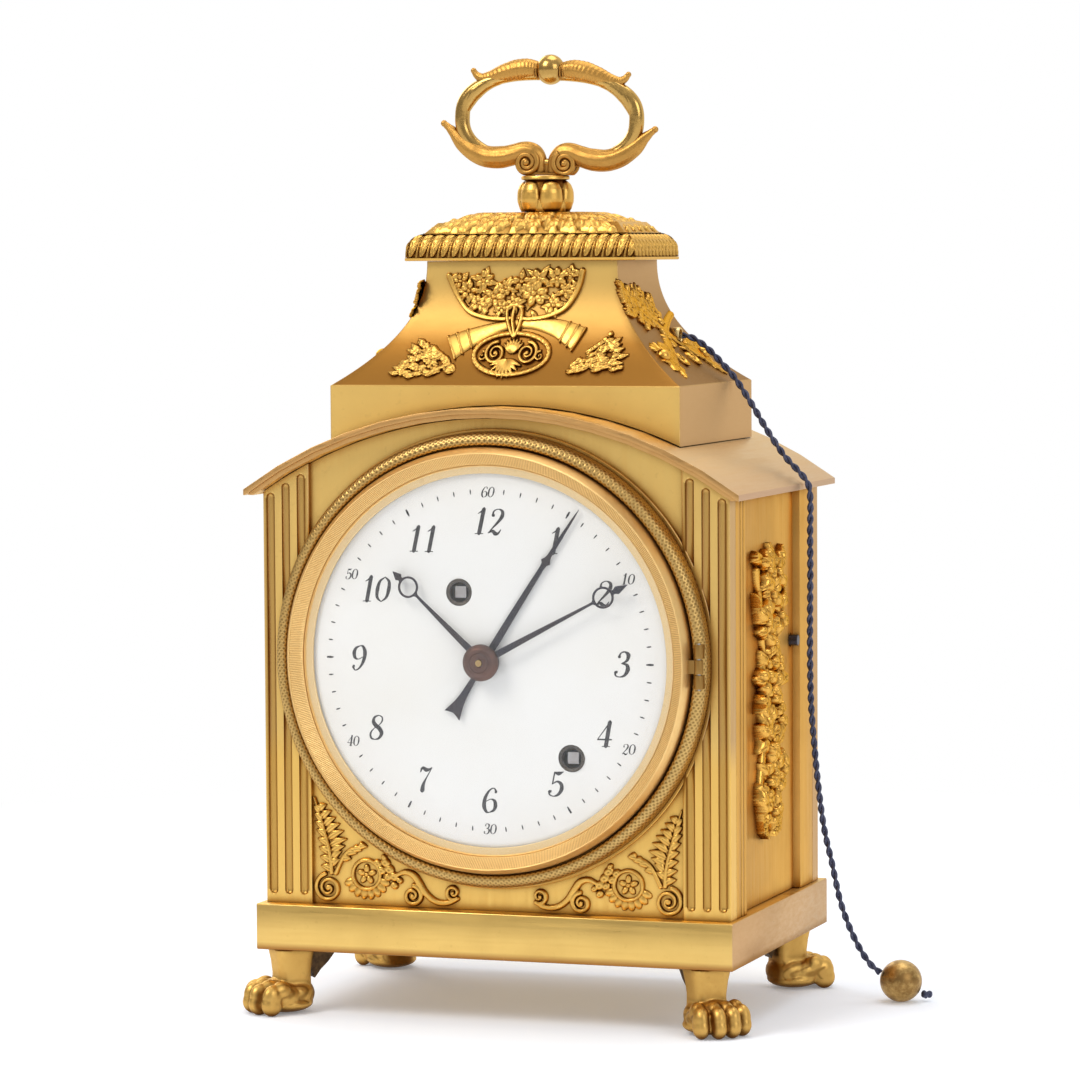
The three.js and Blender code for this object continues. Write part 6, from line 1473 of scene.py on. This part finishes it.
def hood_front():
    field = Carving(-31, 31, 145.6, 172.6, 0.14)
    # two horns that cross under the knot, with wide ribbed mouths cut off square
    for points, radii in (
        ([(-0.41, 158.74), (-4.04, 157.85), (-8.34, 156.36), (-12.44, 154.58), (-15.5, 152.94)],
         (1.0, 1.3, 1.9, 2.5, 3.0)),
        ([(-0.08, 158.74), (4.8, 158.59), (9.44, 157.7), (13.17, 156.21), (15.91, 154.87)],
         (1.0, 1.4, 2.0, 2.6, 2.9)),
    ):
        horn = curve_through(points, 60)
        wide = spread(radii, len(horn))
        field.stroke(horn, wide, np.linspace(0.4, 0.7, len(horn)))
        mouth, way = horn[-4], horn[-1] - horn[-4]
        past = (field.u - mouth[0]) * way[0] + (field.v - mouth[1]) * way[1] > 0
        field.cut(*mouth, 1.5 * wide[-1], past)
        for share in (0.66, 0.8, 0.95):
            i = int(share * (len(horn) - 1))
            way = unit(horn[min(i + 1, len(horn) - 1)] - horn[i - 1])[::-1] * (-1, 1)
            field.stroke([horn[i] - way * wide[i], horn[i] + way * wide[i]], 0.25, 0.85)
    # sprays of leaves and fruit at both ends
    field.cluster(((-12.22, 147.44), (-22.75, 154.65), (-28.57, 146.4)), 70, 1.5, 1.25, 3)
    field.cluster(((-12.22, 147.44), (-18.08, 152.79), (-22.75, 154.65)), 40, 1.4, 1.25, 5)
    field.cluster(((11.27, 147.74), (23.23, 156.88), (28.73, 148.93)), 80, 1.5, 1.25, 4)
    # the festoon's ribbons, which meet at the knot
    for side, points in (
        (-1, [(-17.5, 169.59), (-16.23, 166.92), (-14.65, 164.32), (-12.16, 161.57), (-8.36, 160.23), (-4.25, 159.78),
              (-1.68, 159.93)]),
        (1, [(14.82, 170.64), (14.18, 167.66), (12.88, 164.69), (10.75, 162.01), (7.03, 160.38), (3.04, 159.78),
             (0.43, 159.93)]),
    ):
        ribbon = curve_through(points, 70)
        field.stroke(ribbon, np.linspace(0.75, 0.5, len(ribbon)), 1.0, groove=0.35)
        for k in range(6):
            p = ribbon[int((0.08 + 0.14 * k) * (len(ribbon) - 1))]
            field.leaf(p, p + np.array([-1.6 * side, 2.0]), 0.75, 0.85)
    # the flowers that it holds, each on four leaves
    for k, (u, v, size) in enumerate((
        (-12.42, 166.17, 2.1), (-8.87, 168.55, 2.3), (-6.27, 164.84, 2.6), (-9.68, 163.35, 2), (-4.06, 162.46, 1.6),
        (-1.24, 163.35, 1.9), (0.33, 168.26, 2.1), (3.38, 165.58, 3), (4.62, 169, 2.5), (8.92, 169, 2.3),
        (11.1, 166.17, 2), (8.39, 162.83, 2.1), (12.13, 170.04, 1.6), (-3.42, 166.92, 1.9), (-14.53, 168.41, 1.7),
    )):
        turns = math.degrees(1.3 * k) + 90 * np.arange(4)
        field.fan((u, v), (1.7 * size, 1.5 * size), turns, 0.95, 0.75, veins=2)
        field.flower(u, v, size, 1.22, 5 + k % 2, u)
    # the knot and its loops
    for points in (
        [(-1.71, 163.2), (-2.67, 161.57), (-2.03, 158.74), (-0.24, 155.77), (0.73, 158.74), (0.9, 161.57),
         (-0.41, 163.2)],
        [(-2.91, 162.31), (-1.19, 162.9), (0.96, 162.46)],
        [(-0.98, 162.46), (-1.14, 159.48), (-0.11, 156.06)],
    ):
        field.stroke(curve_through(points, 40), 0.48, 1.28)
    # the oval wreath, two volutes and a shell
    x, z = middle = (-0.06, 151.9)
    oval = (9.0, 4.6)
    field.stroke([polar(middle, oval, a) for a in np.linspace(0, 2 * math.pi, 80)], 0.62, 1.0)
    for a in angles(34):
        field.dome(*polar(middle, oval, a), 0.7, 0.42, 1.15, math.degrees(a) + 40)
    for side in (-1, 1):
        field.spiral((x + 3.8 * side, z + 0.2), 2.5, 1.8, 90, -side, 0.5, 1.2)
        field.spiral((x + 6.9 * side, z - 0.5), 1.1, 1.2, 90, side, 0.36, 0.9)
    field.fan((x - 0.8, z - 1.2), (4.3, 4.6), np.linspace(200, 340, 9), 0.62, 1.2, rib=0.1)
    for a in np.radians(np.linspace(35, 145, 7)):
        field.leaf(middle, polar((x, z + 0.8), 3.0, a), 0.6, 1.1, rib=0.1)
    field.soften(1.45)
    field.mount(
        "hood_mount_front_carved", "hood_mount_front", GILT_CARVED,
        lambda u, v, h: (u, -hood_half(v)[1] - SEAT_GAP - h, v),
    )


hood_front()


def hood_side(side):
    """The trophy on a slope of the hood: u runs backwards, v up."""
    field = Carving(-19.4, 19.4, 145.6, 170.0, 0.17)
    for points, thin, thick, height in (
        ([(-15.0, 166.5), (-9.5, 163.8), (-3.5, 160.2), (2.5, 156.2), (8.5, 152.6), (15.5, 150.0)], 0.8, 1.3, 0.9),
        ([(15.0, 160.4), (9.0, 158.8), (2.0, 156.4), (-4.0, 153.2), (-10.0, 150.4), (-15.5, 149.2)], 0.7, 1.2, 0.85),
    ):
        line = curve_through(points, 60)
        field.stroke(line, np.linspace(thin, thick, len(line)), height, groove=0.3)
    for u, v, size in (
        (-11.5, 165.0, 2.4), (-6.5, 162.0, 2.5), (-9.0, 159.0, 2.1), (-1.5, 159.6, 2.4), (3.5, 160.0, 2.1),
        (0.0, 155.0, 2.2), (-14.5, 161.8, 2.0), (-3.5, 165.0, 2.0), (2.0, 163.6, 1.8),
    ):
        field.flower(u, v, size, 1.25, 5, v)
    for end in (-1, 1):
        field.fan((end * 12.5, 149.8), (5.6, 4.6), 90 + end * (28 * np.arange(7) - 140), 1.2, 1.0, veins=3)
        field.spiral((end * 4.4, 150.6), 2.0, 1.4, 90, -end, 0.5, 1.1)
    field.fan((-6.0, 160.5), (9.5, 7.5), np.linspace(30, 150, 8), 1.0, 0.8, veins=2)
    field.cluster(((-2.0, 158.0), (-17.0, 169.0), (-16.5, 159.5)), 60, 1.7, 1.25, 6)
    field.cluster(((-1.0, 158.5), (5.5, 164.0), (-8.0, 166.0)), 40, 1.6, 1.2, 7)
    field.cluster(((4.0, 155.0), (17.5, 154.5), (15.5, 147.5)), 60, 1.6, 1.2, 8)
    field.cluster(((-5.0, 153.5), (-17.5, 153.5), (-13.5, 147.5)), 50, 1.6, 1.2, 9)
    # the hole that the repeat's cord comes through
    if side > 0:
        field.cut(8.2, 155.5, 2.2)
    field.soften(1.28)
    shape = Shape()
    field.onto(shape, lambda u, v, h: (side * (hood_half(v)[0] + SEAT_GAP + h), u, v))
    # the heads of the mount's two pins
    z = BLOCK_TOP + 6.6
    for end in (-1, 1):
        shape.ball((side * (float(hood_half(z)[0]) + 0.3), end * 15.2, z), (1.85, 1.75, 1.7), 24, 14)
    hand = "right" if side > 0 else "left"
    shape.make(f"hood_mount_{hand}_carved", GILT_RELIEF, replaces=f"hood_mount_{hand}", angle=60)


hood_side(1)
hood_side(-1)


def trophy(side):
    """The long trophy in the recess of a side wall: u runs backwards, v up."""
    low, middle = PLINTH_TOP + 14.8, -2.0
    field = Carving(-18, 14, low, low + 67.8, 0.16)
    draw = np.random.default_rng(11)
    # the two long instruments cross behind everything
    for end in (-1, 1):
        pipe = curve_through([
            (middle + end * u, low + v) for u, v in ((8.5, 6), (4, 22), (-3.0, 40), (-9.5, 62))
        ], 60)
        field.stroke(pipe, np.linspace(1.5, 1.0, len(pipe)), 1.5, groove=0.2)
        field.dome(middle + end * 9.0, low + 4.4, 3.0, 3.2, 2.0, end * 15, hole=0.4)
    # rosettes of five leaves
    for k, (du, dv) in enumerate((
        (0, 6), (-3.5, 13), (3.6, 14), (0.5, 21), (-5.5, 25), (4.8, 27), (0, 32), (-4.6, 38), (4.2, 39), (0.2, 45),
        (-5.6, 50), (5.2, 51), (-1.0, 56), (3.4, 61), (-4.4, 62),
    )):
        heart = (middle + du, low + dv)
        for j in range(5):
            tip = polar(heart, 5.8 + 1.2 * math.sin(1.7 * k + j), k + 2 * math.pi * j / 5)
            height = 3.1 + 0.8 * math.cos(2.1 * k + j)
            field.leaf(heart, tip, 2.2, height, bend=0.7 * (-1) ** j, veins=2, rib=0.15)
        field.dome(*heart, 1.25, 1.25, 3.9, hole=0.12)
    # single leaves all over
    for _ in range(20):
        base = (middle + draw.uniform(-8.5, 8.5), low + draw.uniform(3, 64))
        a, reach = draw.uniform(0, 2 * math.pi), draw.uniform(6.5, 11.0)
        wide, height = draw.uniform(1.9, 2.9), draw.uniform(2.2, 3.8)
        field.leaf(base, polar(base, reach, a), wide, height, veins=3, rib=0.2)
    # two fans of leaves at the foot and at the head
    for end in (-1, 1):
        for v, start in ((3, 270), (60, 90)):
            base = (middle + end * 2.0, low + v)
            for j in range(5):
                tip = polar(base, 9.5 * (1 - 0.07 * j), math.radians(start + end * (20 + 22 * j)))
                field.leaf(base, tip, 1.6, 2.2, veins=4)
    for _ in range(9):
        u, v = middle + draw.uniform(-9.5, 9.5), low + draw.uniform(2, 66)
        size = draw.uniform(1.2, 1.9)
        field.dome(u, v, size, 0.85 * size, draw.uniform(2.4, 3.8), hole=0.15)
    # keep to a swelling outline
    half = np.interp(
        field.v - low, [0, 1.5, 8, 12, 20, 25, 32, 38, 45, 51, 58, 66, 67.8],
        [4.0, 7.5, 10.3, 13.6, 11.5, 14.3, 10.4, 13.6, 15.3, 11.4, 13.6, 13.4, 8.2],
    )
    field.h = np.where(np.abs(field.u - middle) < half * 0.93, field.h, -SINK)
    field.soften(3.9)
    hand = "right" if side > 0 else "left"
    field.mount(
        f"side_mount_{hand}_carved", f"side_mount_{hand}", GILT_RELIEF,
        lambda u, v, h: (side * (RECESS_FACE + SEAT_GAP + h), u, v),
    )


trophy(1)
trophy(-1)


# ---- Cord, ball, knot, eyelet and stop button ----

def make_cord():
    """Two strands laid round the route, which is run through in even steps."""
    count, other = 700, (0, 1, 0)
    line = curve_through(CORD_ROUTE, count)
    far = np.concatenate([[0], np.cumsum(np.linalg.norm(np.diff(line, axis=0), axis=1))])
    length = far[-1]
    line = np.stack([np.interp(np.linspace(0, length, count), far, line[:, k]) for k in range(3)], -1)
    side, out = ways = square_to(line, other)
    turn = np.linspace(0, 2 * math.pi * length / CORD_LAY, count)
    strand = CORD_DIAMETER / 4.5
    fibre = strand * (1 + 0.05 * np.sin(9 * angles(CORD_SIDES)))
    shape = Shape()
    for a in (turn, turn + math.pi):
        middle = line + strand * 0.98 * (np.cos(a)[:, None] * side + np.sin(a)[:, None] * out)
        shape.thread(middle, fibre, ways)
    piece = shape.make("pull_cord", CORD, replaces="cord", angle=180)
    path = ((np.vstack([line[::4], line[-1:]]) + (0, CASE_Y, 0)) * MM).tolist()
    return piece, path, length * MM


def make_ball():
    shape = Shape()
    shape.ball(BALL_PLACE, (BALL_RADIUS,) * 3, 72, 40)
    return shape.make("pull_ball_turned", AGED, replaces="pull_ball", angle=80)


def make_knot():
    """The cord's end beyond the ball, tied in a small knot with frayed tips."""
    shape = Shape()
    centre, other = np.array(KNOT_PLACE), (0.3, 0.2, 0.93)
    t = np.linspace(0, 2 * math.pi, 90)
    knot = centre + 0.62 * np.stack([
        np.sin(t) + 0.75 * np.sin(2 * t), np.cos(t) - 0.75 * np.cos(2 * t), 0.75 * np.sin(3 * t),
    ], -1)
    shape.thread(knot, 0.42, square_to(knot, other))
    for tip in np.array(((0.9, 0.5, 0.35), (1.15, 0.9, -0.2), (0.4, 1.1, 0.5))):
        line = np.linspace(centre + 0.2 * tip * (1, 1, 0), centre + tip, 6)
        shape.thread(line, 0.2, square_to(line, other))
    return shape.make("cord_knot_tied", CORD, replaces="cord_knot", angle=180)


cord_piece, cord_path, cord_length = make_cord()
ball_piece = make_ball()
knot_piece = make_knot()


def make_eyelet():
    shape = Shape()
    shape.turned([
        (1.3, 25.5), (1.3, 30.6), (1.45, 30.95), (1.75, 30.95), (1.9, 30.7), (1.9, 29.6), (1.8, 29.4), (1.8, 25.5),
        (1.3, 25.5),
    ], 40, CORD_ROUTE[0][1:], axis="x")
    shape.make("cord_eyelet_turned", BRASS, replaces="cord_eyelet")


make_eyelet()
smooth_copy("stop_button", BLUED, "stop_pin", 0.15)


# ---- The pieces that stay as they are ----

FINISHES = {
    BRASS: (
        "base_plate", "front_plate", "back_plate", "going_barrel", "strike_barrel", "centre_wheel", "minute_wheel",
        "hour_wheel", "third_wheel", "fourth_wheel", "escape_wheel", "balance", "balance_cock", "pin_wheel", "fly",
        "repeat_drum", "drum_bracket",
    ),
    STEEL: (
        "back_door_pin", "bezel_hinge_pin", "cannon_pinion", "going_winding_arbor", "strike_winding_arbor", "hammer",
    ),
    BELL: ("bell",),
    GILT_UPRIGHT: ("rear_frame", "back_door"),
}
for material, names in FINISHES.items():
    for node in names:
        dress(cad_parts[node].data, material)


# ---- Floor, world and lamps ----

def make_stage():
    """A white floor that fades into the white backdrop away from the clock, and keeps its shadow near it."""
    material, tree, shader = nodes_of("floor", 0.0, 0.9, (0.86, 0.905, 0.985))
    shader.inputs["Emission Color"].default_value = (1, 1, 1, 1)
    shader.inputs["Emission Strength"].default_value = 0.18
    far = add(tree, "VectorMath", {0: add(tree, "TexCoord").outputs["Object"]}, operation="LENGTH")
    path = add(tree, "LightPath").outputs
    seen = maths(tree, "ADD", path["Is Camera Ray"], path["Is Transmission Ray"])
    seen = maths(tree, "ADD", seen, path["Is Glossy Ray"])
    fade = maths(tree, "MULTIPLY", ramp(tree, far.outputs["Value"], 0.16, 0.42, 0.0, 1.0), seen)
    white = add(tree, "Emission", {"Strength": 1.0})
    mix = add(tree, "MixShader", {"Fac": fade, 1: shader.outputs[0], 2: white.outputs[0]})
    tree.links.new(mix.outputs[0], tree.nodes["Material Output"].inputs["Surface"])
    bpy.ops.mesh.primitive_plane_add(size=30, location=(0, 0, 0))
    floor = bpy.context.object
    floor.name = "floor"
    floor.data.materials.append(material)
    for name, place, target, size, power, colour in (
        ("key", (-0.9, -1.2, 1.5), (0, 0, 0.1), 0.9, 19, (1.0, 0.97, 0.92)),
        ("fill", (1.5, -1.0, 0.9), (0, 0, 0.1), 1.0, 8, (0.95, 0.97, 1.0)),
        ("top", (0.1, 0.3, 1.9), (0, 0, 0.1), 1.2, 11, (1, 1, 1)),
        ("rim", (-1.2, 1.1, 0.9), (0, 0, 0.12), 0.8, 6, (1, 1, 1)),
    ):
        data = bpy.data.lights.new(name, "AREA")
        data.shape, data.size, data.energy, data.color = "SQUARE", size, power, colour
        lamp = link(bpy.data.objects.new(name, data))
        lamp.location = place
        lamp.rotation_euler = (Vector(target) - Vector(place)).to_track_quat("-Z", "Y").to_euler()


make_stage()


def make_world():
    """White to the camera. Metal and glass see that white behind the clock, and a darker room in front."""
    world = bpy.data.worlds.new("studio")
    bpy.context.scene.world = world
    world.use_nodes = True
    tree = world.node_tree
    tree.nodes.clear()
    split = add(tree, "SeparateXYZ", {0: add(tree, "TexCoord").outputs["Generated"]}).outputs
    path = add(tree, "LightPath").outputs
    white = add(tree, "Background", {"Color": (1, 1, 1, 1), "Strength": 1.0})
    room = add(tree, "Background", {"Color": ramp(tree, split["Z"], -0.2, 0.8, 0.3, 0.85), "Strength": 0.72})
    behind = ramp(tree, split["Y"], 0.1, 0.6, 0.0, 1.0)
    mirrored = maths(tree, "ADD", path["Is Glossy Ray"], path["Is Transmission Ray"])
    seen = maths(tree, "ADD", path["Is Camera Ray"], maths(tree, "MULTIPLY", mirrored, behind))
    mix = add(tree, "MixShader", {"Fac": seen, 1: room.outputs[0], 2: white.outputs[0]})
    add(tree, "OutputWorld", {"Surface": mix.outputs[0]})


make_world()

bpy.context.scene.view_settings.view_transform = "Standard"
